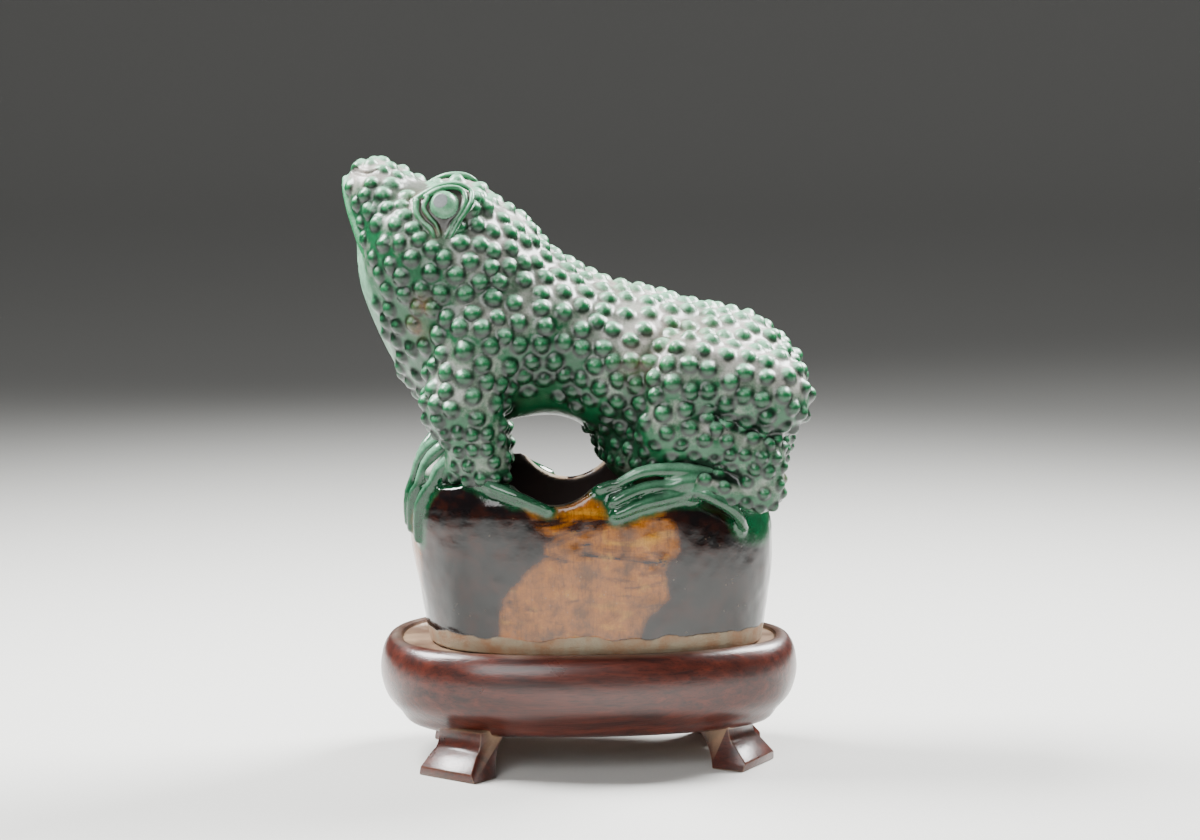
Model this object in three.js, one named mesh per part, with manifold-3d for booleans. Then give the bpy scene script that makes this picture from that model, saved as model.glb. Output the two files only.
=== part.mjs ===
// A glazed porcelain toad on a hollow rock, standing on its oval wooden stand.
// Millimetres, +Z up. The toad looks along -X, and Y = 0 is its middle plane.
import * as THREE from "three";
import { MarchingCubes } from "three/addons/objects/MarchingCubes.js";
import { mergeVertices } from "three/addons/utils/BufferGeometryUtils.js";
import Module from "manifold-3d";

const wasm = await Module();
wasm.setup();

// Driving dimensions. Lengths run along X, depths along Y and heights along Z.
const STAND = { length: 135, depth: 88, height: 40, squareness: 2.35, taper: 0.12, seatDrop: 1.2 };
const ROCK = { length: 119, depth: 77, rimHeight: 94.5, squareness: 2.5, taper: 0.1, wall: 3.8 };
const WART = { spacing: 6.9, height: 1.9 };
const CONTACT_GAP = 0.3;
const SEAT = STAND.height - STAND.seatDrop + CONTACT_GAP;

const glaze = new THREE.MeshStandardMaterial({ color: 0x2f8f5b, roughness: 0.18, metalness: 0 });
const rosewood = new THREE.MeshStandardMaterial({ color: 0x3a1210, roughness: 0.35, metalness: 0 });

// The toad's soft forms. Each lump is an ellipsoid: its centre, its radii and its dip to the rear in degrees.
const TORSO = [
  { name: "rump", at: [42, 0, 121.5], r: [26, 31, 23.8], dip: 12 },
  { name: "seat", at: [40, 0, 104], r: [24, 27, 16], dip: 12 },
  { name: "groin", at: [23, 0, 101.5], r: [19.5, 32, 14], dip: 0 },
  { name: "loin", at: [12, 0, 129], r: [30, 33, 23.5], dip: 8 },
  { name: "withers", at: [-14, 0, 140], r: [26, 31, 20.5], dip: 25 },
  { name: "chest", at: [-32, 0, 138], r: [31.5, 32, 28.5], dip: 0 },
  { name: "neck", at: [-46, 0, 156], r: [26.8, 31, 25.5], dip: 10 },
  { name: "nape", at: [-36, 0, 161.5], r: [18.5, 27, 18], dip: 40 },
  { name: "head", at: [-56, 0, 168], r: [21, 27, 14.8], dip: 50 },
  { name: "snout", at: [-68.4, 0, 184.6], r: [9.4, 14, 8.4], dip: 45 },
];
const TORSO_BLEND = 11;

// Limbs are tapered and round-ended: two centres and two radii, on the -Y side, and mirrored.
const LIMBS = [
  { name: "upper arm", from: [-34, -21, 138], to: [-39.5, -26.5, 118], r: [16, 12], blend: 4 },
  { name: "forearm", from: [-39.5, -26.5, 118], to: [-32.5, -28, 97], r: [12, 7.6], blend: 3 },
  { name: "hand", from: [-36, -25, 101], to: [-47.5, -18, 94], r: [7.4, 5], blend: 4 },
  { name: "thigh", from: [56, -22.5, 120.5], to: [31, -26, 129], r: [14, 12], blend: 2.5 },
  { name: "knee", from: [27, -27.5, 123], to: [25.5, -28, 112], r: [11, 10.5], blend: 4 },
  { name: "shank", from: [27, -28.5, 111], to: [50.5, -27.5, 104], r: [9.3, 8.6], blend: 1 },
  { name: "heel", from: [53.5, -26.5, 102], to: [54, -26, 91.5], r: [8.7, 7.6], blend: 3 },
  { name: "ankle", from: [53, -27, 89.5], to: [36, -31, 93.5], r: [5.6, 4.6], blend: 2 },
];
const EYE = { at: [-46.2, 181.6], ball: [4.1, 3, 4.6] };
const BROW = { at: [-43.5, -16, 178], r: [12, 9, 6.6], blend: 6 };

// Mirrors a point or a list of points to the other side of the middle plane.
const mirrored = (p) => (Array.isArray(p[0]) ? p.map(mirrored) : [p[0], -p[1], p[2]]);
const blendMin = (a, b, k) => Math.min(a, b) - Math.max(k - Math.abs(a - b), 0) ** 2 / (4 * k);
const clamp01 = (t) => Math.min(1, Math.max(0, t));

// Eases from 0 at a to 1 at b, whichever of the two is the larger.
function smoothStep(a, b, value) {
  const t = clamp01((value - a) / (b - a));
  return t * t * (3 - 2 * t);
}

function ellipsoidDistance(x, y, z, { at, r, dip = 0 }) {
  const a = THREE.MathUtils.degToRad(dip);
  const dx = x - at[0];
  const dz = z - at[2];
  const u = (Math.cos(a) * dx - Math.sin(a) * dz) / r[0];
  const v = (y - at[1]) / r[1];
  const w = (Math.sin(a) * dx + Math.cos(a) * dz) / r[2];
  const k = Math.hypot(u, v, w);
  return (k * (k - 1)) / Math.max(1e-6, Math.hypot(u / r[0], v / r[1], w / r[2]));
}

function limbDistance(x, y, z, { from, to, r }) {
  const d = to.map((c, i) => c - from[i]);
  const p = [x - from[0], y - from[1], z - from[2]];
  const t = clamp01((p[0] * d[0] + p[1] * d[1] + p[2] * d[2]) / (d[0] ** 2 + d[1] ** 2 + d[2] ** 2));
  return Math.hypot(p[0] - t * d[0], p[1] - t * d[1], p[2] - t * d[2]) - (r[0] + t * (r[1] - r[0]));
}

// Signed distance to the toad's bare skin, negative inside. Both sides are alike, so only -Y is worked out.
function skinDistance(x, y, z) {
  const side = -Math.abs(y);
  let d = TORSO.reduce((sum, lump) => blendMin(sum, ellipsoidDistance(x, side, z, lump), TORSO_BLEND), 1e3);
  d = blendMin(d, ellipsoidDistance(x, side, z, BROW), BROW.blend);
  return LIMBS.reduce((sum, limb) => blendMin(sum, limbDistance(x, side, z, limb), limb.blend), d);
}

function skinNormal(p) {
  const e = 0.5;
  return new THREE.Vector3(
    skinDistance(p.x + e, p.y, p.z) - skinDistance(p.x - e, p.y, p.z),
    skinDistance(p.x, p.y + e, p.z) - skinDistance(p.x, p.y - e, p.z),
    skinDistance(p.x, p.y, p.z + e) - skinDistance(p.x, p.y, p.z - e),
  ).normalize();
}

// Half the width of the smooth lower jaw and throat, which run down the toad's front.
const THROAT = [[122, 0], [134, 13], [150, 17], [166, 13.5], [178, 9], [188, 3.5]];
function throatHalfWidth(z) {
  const i = THROAT.findIndex(([height]) => height > z);
  if (i < 1) return 0;
  const [[z0, w0], [z1, w1]] = THROAT.slice(i - 1, i + 1);
  return w0 + ((w1 - w0) * (z - z0)) / (z1 - z0);
}

// 1 where the skin is covered in full-size warts, 0 where it is smooth, and smaller warts between.
function wartiness(p, n) {
  const eye = Math.hypot(p.x - EYE.at[0], p.z - EYE.at[1] + 3) < 8.5 && Math.abs(p.y) > 14;
  const lip = Math.hypot(p.x + 76, Math.abs(p.y) - 6, p.z - 184) < 5;
  const throat = n.x < -0.2 && p.x < -50 && Math.abs(p.y) < throatHalfWidth(p.z);
  const underside = n.z < -0.72 || p.z < (p.x < 0 ? 94 : 86);
  const hand = p.x < -40 && p.z < 105 + 0.7 * (p.x + 45);
  const palm = Math.abs(p.x - 24) < 12.5 && p.z < 98;
  if (throat || underside || eye || lip || hand || palm) return 0;
  const face = smoothStep(-48, -62, p.x) * smoothStep(165, 180, p.z);
  const ankle = smoothStep(30, 38, p.x) * smoothStep(99, 95, p.z);
  return 1 - 0.35 * face - 0.4 * ankle;
}

const wartSpacing = (p, warty) => (warty > 0 ? WART.spacing * (0.72 + 0.28 * warty) : WART.spacing * 1.9);

// The bare skin as a fine closed mesh: vertices, and each one's neighbours and triangles.
function fineSkin() {
  const centre = new THREE.Vector3(-5, 0, 138);
  const reach = 82;
  const cells = 116;
  const field = new MarchingCubes(cells, glaze, false, false, 90000);
  field.isolation = 0;
  for (let k = 0, q = 0; k < cells; k++)
    for (let j = 0; j < cells; j++)
      for (let i = 0; i < cells; i++) {
        const [x, y, z] = [i, j, k].map((c) => ((c - cells / 2) / (cells / 2)) * reach);
        field.field[q++] = -skinDistance(centre.x + x, centre.y + y, centre.z + z);
      }
  field.update();
  const soup = new THREE.BufferGeometry();
  soup.setAttribute("position", new THREE.BufferAttribute(field.positionArray.slice(0, field.count * 3), 3));
  soup.scale(reach, reach, reach).translate(centre.x, centre.y, centre.z);
  const merged = mergeVertices(soup, 1e-2);
  const { position } = merged.attributes;
  const points = [];
  for (let i = 0; i < position.count; i++) points.push(new THREE.Vector3().fromBufferAttribute(position, i));
  const triangles = [];
  for (let i = 0; i < merged.index.count; i += 3) {
    const t = [0, 1, 2].map((c) => merged.index.getX(i + c));
    if (new Set(t).size === 3) triangles.push(t);
  }
  return outermost(points, triangles);
}

// Only the outermost of the closed shells in a mesh, so that no hollow is left between the limbs and the body.
function outermost(points, triangles) {
  const neighbours = points.map(() => new Set());
  for (const t of triangles) t.forEach((v, c) => neighbours[v].add(t[(c + 1) % 3]).add(t[(c + 2) % 3]));
  const top = points.reduce((best, p, v) => (p.z > points[best].z ? v : best), 0);
  const renamed = new Map([[top, 0]]);
  for (const v of renamed.keys())
    for (const w of neighbours[v]) if (!renamed.has(w)) renamed.set(w, renamed.size);
  const kept = [...renamed.keys()];
  return {
    points: kept.map((v) => points[v]),
    triangles: triangles.filter((t) => renamed.has(t[0])).map((t) => t.map((v) => renamed.get(v))),
    neighbours: kept.map((v) => [...neighbours[v]].map((w) => renamed.get(w))),
  };
}

// Grows a cell round each seed over the skin. A vertex goes to the seed that is nearest for its spacing.
function growCells(skin, seeds, spacing) {
  const cell = new Int32Array(skin.points.length).fill(-1);
  const best = new Float64Array(skin.points.length).fill(Infinity);
  let front = [...seeds];
  seeds.forEach((v, s) => {
    cell[v] = s;
    best[v] = 0;
  });
  while (front.length) {
    const next = [];
    for (const v of front)
      for (const w of skin.neighbours[v]) {
        const d = skin.points[w].distanceTo(skin.points[seeds[cell[v]]]) / spacing[seeds[cell[v]]];
        if (d < best[w] - 1e-9) {
          best[w] = d;
          cell[w] = cell[v];
          next.push(w);
        }
      }
    front = next;
  }
  return cell;
}

// Seeds scattered a wart apart, then evened out: each moves to the middle of its cell, a few times over.
function evenSeeds(skin, spacing, rounds) {
  const order = skin.points.map((_, i) => i);
  let random = 20250;
  for (let i = order.length - 1; i > 0; i--) {
    random = (random * 1103515245 + 12345) % 2147483648;
    const j = random % (i + 1);
    [order[i], order[j]] = [order[j], order[i]];
  }
  let seeds = [];
  for (const v of order) {
    const clear = (s) => skin.points[s].distanceTo(skin.points[v]) > 0.76 * Math.max(spacing[s], spacing[v]);
    if (seeds.every(clear)) seeds.push(v);
  }
  for (let round = 0; round < rounds; round++) {
    const cell = growCells(skin, seeds, spacing);
    const middle = seeds.map(() => new THREE.Vector3());
    const count = seeds.map(() => 0);
    cell.forEach((s, v) => {
      middle[s].add(skin.points[v]);
      count[s]++;
    });
    middle.forEach((m, s) => m.divideScalar(count[s]));
    const nearest = seeds.map(() => Infinity);
    const moved = [...seeds];
    cell.forEach((s, v) => {
      const d = skin.points[v].distanceToSquared(middle[s]);
      if (d < nearest[s]) {
        nearest[s] = d;
        moved[s] = v;
      }
    });
    seeds = moved;
  }
  return seeds;
}

// The warty skin: a facetted cone for each seed, with valleys where the cells meet. Smooth skin gets flat ones.
function wartySkin() {
  const skin = fineSkin();
  const normals = skin.points.map(skinNormal);
  const warty = skin.points.map((p, i) => wartiness(p, normals[i]));
  const spacing = skin.points.map((p, i) => wartSpacing(p, warty[i]));
  const seeds = evenSeeds(skin, spacing, 14);
  const cell = growCells(skin, seeds, spacing);
  const edgeTriangles = new Map();
  const key = (a, b) => (a < b ? a * 1e6 + b : b * 1e6 + a);
  skin.triangles.forEach((t, i) =>
    t.forEach((v, c) => {
      const k = key(v, t[(c + 1) % 3]);
      edgeTriangles.set(k, [...(edgeTriangles.get(k) ?? []), i]);
    }),
  );
  const corners = new Map();
  skin.triangles.forEach((t, i) => {
    if (new Set(t.map((v) => cell[v])).size === 3) corners.set(i, seeds.length + corners.size);
  });
  const vertices = seeds.map((v) => {
    const height = WART.height * warty[v];
    return skin.points[v].clone().addScaledVector(normals[v], height);
  });
  for (const i of corners.keys()) {
    const middle = new THREE.Vector3();
    skin.triangles[i].forEach((v) => middle.add(skin.points[v]));
    vertices.push(middle.divideScalar(3));
  }
  const faces = [];
  for (const [start, from] of corners)
    for (let c = 0; c < 3; c++) {
      const owner = cell[skin.triangles[start][c]];
      let [a, b] = [skin.triangles[start][c], skin.triangles[start][(c + 1) % 3]];
      let at = start;
      at = edgeTriangles.get(key(a, b)).find((i) => i !== at);
      while (!corners.has(at)) {
        const third = skin.triangles[at].find((v) => v !== a && v !== b);
        if (cell[third] === owner) a = third;
        else b = third;
        at = edgeTriangles.get(key(a, b)).find((i) => i !== at);
      }
      faces.push(owner, corners.get(at), from);
    }
  return { vertices, faces };
}

// A closed three.js geometry, or vertices and faces, as a solid that can be joined and cut.
function solid(geometry) {
  const bare = geometry.clone();
  for (const name of Object.keys(bare.attributes)) if (name !== "position") bare.deleteAttribute(name);
  const merged = mergeVertices(bare, 1e-3);
  const made = new wasm.Manifold(
    new wasm.Mesh({
      numProp: 3,
      vertProperties: new Float32Array(merged.attributes.position.array),
      triVerts: new Uint32Array(merged.index.array),
    }),
  );
  if (made.volume() < 0) throw new Error("a solid is inside out");
  return made;
}

function meshOf(name, made, material) {
  const { vertProperties, triVerts } = made.getMesh();
  const geometry = new THREE.BufferGeometry();
  geometry.setAttribute("position", new THREE.BufferAttribute(new Float32Array(vertProperties), 3));
  geometry.setIndex(new THREE.BufferAttribute(new Uint32Array(triVerts), 1));
  geometry.computeVertexNormals();
  const mesh = new THREE.Mesh(geometry, material);
  mesh.name = name;
  return mesh;
}

function skinSolid() {
  const { vertices, faces } = wartySkin();
  const geometry = new THREE.BufferGeometry().setFromPoints(vertices);
  geometry.setIndex(faces);
  return solid(geometry);
}

const both = (make) => [make((p) => p), make(mirrored)];

// A round finger of clay: a sphere drawn out along a curve, with the radius that radiusAt gives from 0 to 1.
function clayFinger(points, radiusAt, sides = 6, rings = 7) {
  const curve = new THREE.CatmullRomCurve3(points.map((p) => new THREE.Vector3(...p)));
  const frames = curve.computeFrenetFrames(rings, false);
  const geometry = new THREE.SphereGeometry(1, sides, rings);
  const { position } = geometry.attributes;
  const columns = sides + 1;
  for (let i = 0; i < position.count; i++) {
    const ring = Math.floor(i / columns);
    const turn = (2 * Math.PI * (i % columns)) / sides;
    const u = ring / rings;
    const radius = radiusAt(u) * Math.sqrt(1 - Math.abs(2 * u - 1) ** 5);
    const p = curve.getPointAt(u);
    p.addScaledVector(frames.normals[ring], radius * Math.cos(turn));
    p.addScaledVector(frames.binormals[ring], radius * Math.sin(turn));
    position.setXYZ(i, p.x, p.y, p.z);
  }
  return solid(facingOut(geometry));
}

// Turns a closed geometry the right way out, if its faces point inwards.
function facingOut(geometry) {
  const g = geometry.index ? geometry.toNonIndexed() : geometry;
  const p = g.attributes.position;
  const [a, b, c] = [new THREE.Vector3(), new THREE.Vector3(), new THREE.Vector3()];
  let volume = 0;
  for (let i = 0; i < p.count; i += 3) {
    [a, b, c].forEach((v, k) => v.fromBufferAttribute(p, i + k));
    volume += a.dot(b.cross(c));
  }
  if (volume > 0) return g;
  for (let i = 0; i < p.count; i += 3) {
    b.fromBufferAttribute(p, i + 1);
    c.fromBufferAttribute(p, i + 2);
    p.setXYZ(i + 1, c.x, c.y, c.z);
    p.setXYZ(i + 2, b.x, b.y, b.z);
  }
  return g;
}

// Toes of the near feet, as the points that each runs through, and its radius at root and tip.
const FORE_TOES = [
  { through: [[-42, -15, 99], [-50, -13.8, 94], [-56.5, -14, 83.5], [-56.2, -14.4, 71.5]], r: [3, 2] },
  { through: [[-40, -20, 99], [-47.2, -20, 94.5], [-53.8, -21, 84], [-54, -21, 71.5]], r: [3, 2] },
  { through: [[-40, -30, 94.5], [-33, -33, 93], [-26, -35.5, 91], [-19, -37, 87]], r: [2.4, 1.3] },
];
const HIND_TOES = [
  { through: [[31, -32, 97.5], [22, -34.5, 98.6], [12, -36, 97.6], [4.5, -36.8, 94]], r: [2.4, 1.5] },
  { through: [[31, -32.5, 94.5], [24, -34.8, 94.2], [16, -36.5, 93], [9.5, -37.6, 89.6]], r: [2.8, 2.1] },
  { through: [[31, -33, 91], [24, -35.4, 89.4], [16, -37, 87.4], [9.5, -38, 85]], r: [2.6, 1.8] },
  { through: [[29, -33.4, 89], [36, -33.2, 88.6], [43, -30.5, 86], [50, -25.8, 80]], r: [2.6, 2] },
];
const toes = () =>
  [...FORE_TOES, ...HIND_TOES].flatMap(({ through, r }) =>
    both((side) => clayFinger(side(through), (u) => r[0] + u * (r[1] - r[0]))),
  );

// Eyeballs, and the tear-shaped lid round each. Points are [x, z].
const LID = [
  [-52.3, 179.5], [-47, 185.2], [-40.8, 185.2], [-39, 181.6],
  [-41.4, 176.8], [-45.2, 170.8], [-49.5, 175.6],
];
function onSkin([x, z], lift) {
  let [outside, inside] = [-50, 0];
  for (let i = 0; i < 24; i++) {
    const y = (outside + inside) / 2;
    if (skinDistance(x, y, z) > lift) outside = y;
    else inside = y;
  }
  return [x, outside, z];
}
function eyes() {
  const ball = (side) => {
    const at = side(onSkin(EYE.at, 0.6));
    return solid(new THREE.SphereGeometry(1, 10, 6).scale(...EYE.ball).translate(...at));
  };
  const lid = (side) => {
    const rim = new THREE.CatmullRomCurve3(LID.map((p) => new THREE.Vector3(...side(onSkin(p, 0.4)))), true);
    return solid(facingOut(new THREE.TubeGeometry(rim, 18, 1.2, 4, true)));
  };
  return [ball, lid].flatMap(both);
}

// The lip stands out along the mouth, from corner to corner over the tip of the snout.
const MOUTH = [[-71.2, -14.6, 165], [-75, -9.5, 176], [-77.2, -4.5, 184], [-77.6, 0, 187.3]];
function lip() {
  const line = [...MOUTH, ...mirrored(MOUTH.slice(0, -1)).reverse()];
  return clayFinger(line, () => 1.5, 5, 16);
}
function mouthSlit() {
  const inward = (p) => [p[0] + 0.6, p[1] * 0.86, p[2] - 2.2];
  const line = [...MOUTH, ...mirrored(MOUTH.slice(0, -1)).reverse()].map(inward);
  return clayFinger(line, (u) => 0.7 + 1.5 * Math.abs(2 * u - 1) ** 3, 5, 14);
}
const NOSTRIL = [[-76.5, -6, 192], [-73.5, -5.5, 191.6], [-70, -6.5, 191.8]];
const nostrils = () => both((side) => clayFinger(side(NOSTRIL), () => 1.2, 5, 4));

// A point on a flat oval. A squareness of 2 is an ellipse, more is squarer, and taper narrows the +X end.
function ovalPoint({ length, depth, squareness, taper }, angle) {
  const [c, s] = [Math.cos(angle), Math.sin(angle)];
  const power = 2 / squareness;
  const along = Math.sign(c) * Math.abs(c) ** power;
  const across = Math.sign(s) * Math.abs(s) ** power * (1 - taper * along);
  return new THREE.Vector2((along * length) / 2, (across * depth) / 2);
}

// The outward direction of the oval at that angle.
function ovalOutward(oval, angle) {
  const step = 0.01;
  const tangent = ovalPoint(oval, angle + step).sub(ovalPoint(oval, angle - step));
  return new THREE.Vector2(tangent.y, -tangent.x).normalize();
}

// Turns a profile round an oval. Its points are [inset from the oval, height], and null stands for the middle.
function turnedOval(profile, oval, segments) {
  const far = 1000;
  const points = profile.map(([inset, z]) => new THREE.Vector2(inset === null ? 0 : far - inset, z));
  const geometry = new THREE.LatheGeometry(points, segments);
  const { position } = geometry.attributes;
  for (let i = 0; i < position.count; i++) {
    const [rx, z, ry] = [position.getX(i), position.getY(i), position.getZ(i)];
    const radius = Math.hypot(rx, ry);
    const angle = Math.atan2(ry, rx);
    const p = ovalPoint(oval, angle).addScaledVector(ovalOutward(oval, angle), radius - far);
    if (radius < 1) p.set(0, 0);
    position.setXYZ(i, p.x, p.y, z);
  }
  return facingOut(geometry);
}

// The rock: an oval drum with thin walls, open below and above. Its front leans in towards the bottom.
const ROCK_LEAN = 4.8;
const ROCK_REAR_DROP = 10.5;
const ROCK_FRONT_DROP = 3.5;
function rockDrum() {
  const { rimHeight, wall } = ROCK;
  const profile = [
    [3.4, SEAT], [1.6, 55], [0.2, 70], [0, 82], [0.8, 89], [2.4, 93], [4.2, rimHeight],
    [wall + 2.6, 92.6], [wall + 2.2, 80], [wall + 3.4, SEAT], [3.4, SEAT],
  ];
  const geometry = turnedOval(profile, ROCK, 34);
  const { position } = geometry.attributes;
  for (let i = 0; i < position.count; i++) {
    const [x, y, z] = [position.getX(i), position.getY(i), position.getZ(i)];
    const down = (rimHeight - z) / (rimHeight - SEAT);
    const front = clamp01(0.5 - x / ROCK.length);
    const drop = ROCK_REAR_DROP * smoothStep(16, 58, x) + ROCK_FRONT_DROP * smoothStep(-30, -58, x);
    const height = SEAT + (z - SEAT) * (1 - drop / (rimHeight - SEAT));
    position.setXYZ(i, x + ROCK_LEAN * front * clamp01(down) ** 0.85, y, height);
  }
  return solid(geometry);
}

// The round bites out of both long walls, below the toad's belly.
const BITES = [
  { side: -1, x: -11, bottom: 87.6 },
  { side: 1, x: -7, bottom: 85.8 },
];
const BITE_RADIUS = 16;
const wallBites = () =>
  BITES.map(({ side, x, bottom }) => {
    const cutter = new THREE.CylinderGeometry(BITE_RADIUS, BITE_RADIUS, 22, 20);
    return solid(cutter.translate(x, (side * ROCK.depth) / 2, bottom + BITE_RADIUS));
  });

function porcelain() {
  const drum = wasm.Manifold.difference([rockDrum(), ...wallBites()]);
  const body = wasm.Manifold.union([skinSolid(), drum, ...toes(), ...eyes(), lip()]);
  return wasm.Manifold.difference([body, mouthSlit(), ...nostrils()]);
}

// The wooden stand: a bulging oval block, sunk on top where the rock sits, on four feet that flare out.
const APRON = { height: 12, inset: 9.5 };
const FEET = [
  { at: [-42.5, -35.5], facing: 232 },
  { at: [51, -17], facing: 332 },
  { at: [-40, 25], facing: 132 },
  { at: [47, 25], facing: 34 },
];
const FOOT_WIDTH = 23;
function standBlock() {
  const { height, seatDrop } = STAND;
  const profile = [
    [null, APRON.height], [18, APRON.height], [APRON.inset, APRON.height + 0.8],
    [6, 16.5], [2.2, 21], [0.4, 26], [0, 30.5], [0.8, 35.5], [2.6, 38.8], [4.6, height],
    [6.4, height], [7.2, height - seatDrop], [null, height - seatDrop],
  ];
  return solid(turnedOval(profile, STAND, 36));
}

// One foot: its side outline, given a width that narrows upwards, and turned to face outwards.
function standFoot({ at, facing }) {
  const outline = new THREE.Shape();
  outline.moveTo(-14, APRON.height + 3);
  outline.lineTo(-2.5, APRON.height + 3);
  outline.quadraticCurveTo(-2.6, 8.8, 0, 7.8);
  outline.lineTo(4.6, 2.8);
  outline.lineTo(4.2, 0);
  outline.lineTo(-7, 0);
  outline.quadraticCurveTo(-8.5, 7, -14, APRON.height);
  const across = { depth: FOOT_WIDTH, bevelEnabled: false, curveSegments: 4 };
  const geometry = new THREE.ExtrudeGeometry(outline, across);
  geometry.translate(0, 0, -FOOT_WIDTH / 2);
  geometry.rotateX(Math.PI / 2);
  const { position } = geometry.attributes;
  for (let i = 0; i < position.count; i++)
    position.setY(i, position.getY(i) * (1 - 0.24 * clamp01(position.getZ(i) / 9)));
  geometry.rotateZ(THREE.MathUtils.degToRad(facing));
  geometry.translate(...at, 0);
  return solid(facingOut(geometry));
}

const stand = () => wasm.Manifold.union([standBlock(), ...FEET.map(standFoot)]);

const figure = new THREE.Group();
figure.add(meshOf("porcelain_toad", porcelain(), glaze), meshOf("wooden_stand", stand(), rosewood));

// The origin is on the table, under the middle of the whole piece's length and depth.
const middle = new THREE.Box3().setFromObject(figure).getCenter(new THREE.Vector3());
figure.children.forEach((mesh) => mesh.position.set(-middle.x, -middle.y, 0));

export default figure;
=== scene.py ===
"""A green-glazed porcelain toad on a hollow rock, standing on its oval hardwood stand.

Shapes are worked out in millimetres about the rock's own centre line, with the toad looking along -X,
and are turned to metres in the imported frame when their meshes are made.
"""
import math

import bpy
import numpy as np
from mathutils import Matrix, Vector, kdtree


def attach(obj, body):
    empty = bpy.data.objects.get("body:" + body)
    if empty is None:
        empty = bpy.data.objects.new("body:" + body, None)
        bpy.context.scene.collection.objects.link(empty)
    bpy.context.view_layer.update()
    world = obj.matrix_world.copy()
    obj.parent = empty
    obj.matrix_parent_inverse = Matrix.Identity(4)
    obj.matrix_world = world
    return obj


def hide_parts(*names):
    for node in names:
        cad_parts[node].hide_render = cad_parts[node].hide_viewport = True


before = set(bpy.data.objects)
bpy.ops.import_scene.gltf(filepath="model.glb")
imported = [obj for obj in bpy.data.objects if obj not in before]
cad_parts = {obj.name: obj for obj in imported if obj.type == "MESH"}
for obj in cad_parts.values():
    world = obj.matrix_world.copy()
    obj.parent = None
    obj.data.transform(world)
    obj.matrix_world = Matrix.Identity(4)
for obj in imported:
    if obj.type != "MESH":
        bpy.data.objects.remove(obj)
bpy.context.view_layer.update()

bl_info = {
    "name": "Porcelain toad on a hollow rock",
    "version": (1, 0, 0),
    "blender": (4, 5, 0),
    "location": "View3D > Sidebar > Toad",
    "description": "Dresses the packed toad and its stand, and sets up a plain studio",
    "category": "Add Mesh",
}

BODY = "root"
MM = 0.001

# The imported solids' driving sizes, in millimetres.
STAND = {"length": 135, "depth": 88, "height": 40, "squareness": 2.35, "taper": 0.12, "widest": 30.5}
ROCK = {"length": 119, "depth": 77, "rim": 94.5, "squareness": 2.5, "taper": 0.1, "wall": 3.8}
SEAT = 39.1

# The toad's lumps: centre, radii and dip to the rear in degrees.
LUMPS = [
    ((42, 0, 121.5), (26, 31, 23.8), 12),
    ((40, 0, 104), (24, 27, 16), 12),
    ((23, 0, 101.5), (19.5, 32, 14), 0),
    ((12, 0, 129), (30, 33, 23.5), 8),
    ((-14, 0, 140), (26, 31, 20.5), 25),
    ((-32, 0, 138), (31.5, 32, 28.5), 0),
    ((-46, 0, 156), (26.8, 31, 25.5), 10),
    ((-36, 0, 161.5), (18.5, 27, 18), 40),
    ((-56, 0, 168), (21, 27, 14.8), 50),
    ((-68.4, 0, 184.6), (9.4, 14, 8.4), 45),
]
LUMP_BLEND = 11
BROW = ((-43.5, -16.3, 178.8), (11.5, 9, 7.6), 0)
BROW_BLEND = 6
# Limbs on the -Y side: from, to, the two radii and how softly each joins the body.
LIMBS = [
    ((-34, -21, 138), (-39.5, -26.5, 118), (16, 12), 4),
    ((-39.5, -26.5, 118), (-32.5, -28, 97), (12, 7.6), 3),
    ((-36, -25, 101), (-47.5, -18, 94), (7.4, 5), 4),
    ((56, -22.5, 120.5), (31, -26, 129), (14, 12), 2.5),
    ((27, -27.5, 123), (25.5, -28, 112), (11, 10.5), 4),
    ((27, -28.5, 111), (50.5, -27.5, 104), (9.3, 8.6), 1),
    ((53.5, -26.5, 102), (54, -26, 91.5), (8.7, 7.6), 3),
    ((53, -27, 89.5), (36, -31, 93.5), (5.6, 4.6), 2),
]
# Toes on the -Y side: the points that each runs through, and its radius at root and tip.
TOES = (
    (((-40, -25, 102), (-46.5, -23.5, 98), (-52, -23, 91), (-55, -21.5, 83), (-55, -20, 74)), (2.8, 1.3)),
    (((-42, -19, 106), (-49.6, -17.5, 100.5), (-54, -17, 93), (-57, -15, 85.5), (-57.6, -14, 76.5)), (2.8, 1.3)),
    (((-42, -13, 107), (-50, -11, 103), (-55.5, -9, 95), (-58.2, -8, 86), (-58, -7.5, 77.5)), (2.6, 1.2)),
    (((-38, -29, 97), (-33, -33, 94), (-26, -35.5, 91.3), (-19, -37, 88.5), (-13, -37.5, 86)), (2.8, 1.1)),
    (((38, -30, 96.5), (31, -32, 98), (22, -34.5, 98.6), (12, -36, 97.2), (3.5, -36.8, 93.3)), (3, 1.3)),
    (((38, -31, 94), (31, -32.5, 94.8), (24, -34.8, 94.4), (16, -36.5, 93), (8.5, -37.6, 89.2)), (3.2, 1.7)),
    (((38, -31, 92), (31, -33, 91.5), (24, -35.4, 89.8), (16, -37, 87.7), (9, -38, 85)), (3, 1.4)),
    (((33, -32.4, 92.5), (38, -33.2, 90.3), (44, -31.5, 86.5), (48.5, -28.5, 82), (51, -26, 79)), (3, 1.6)),
)


def figure_middle():
    """Where the rock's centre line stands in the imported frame, from the stand's widest ring."""
    points = node_points("wooden_stand")[0]
    ring = points[np.abs(points[:, 2] - STAND["widest"]) < 0.2]
    middle = (ring.min(0) + ring.max(0)) / 2
    return np.array([middle[0], middle[1], 0])


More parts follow.
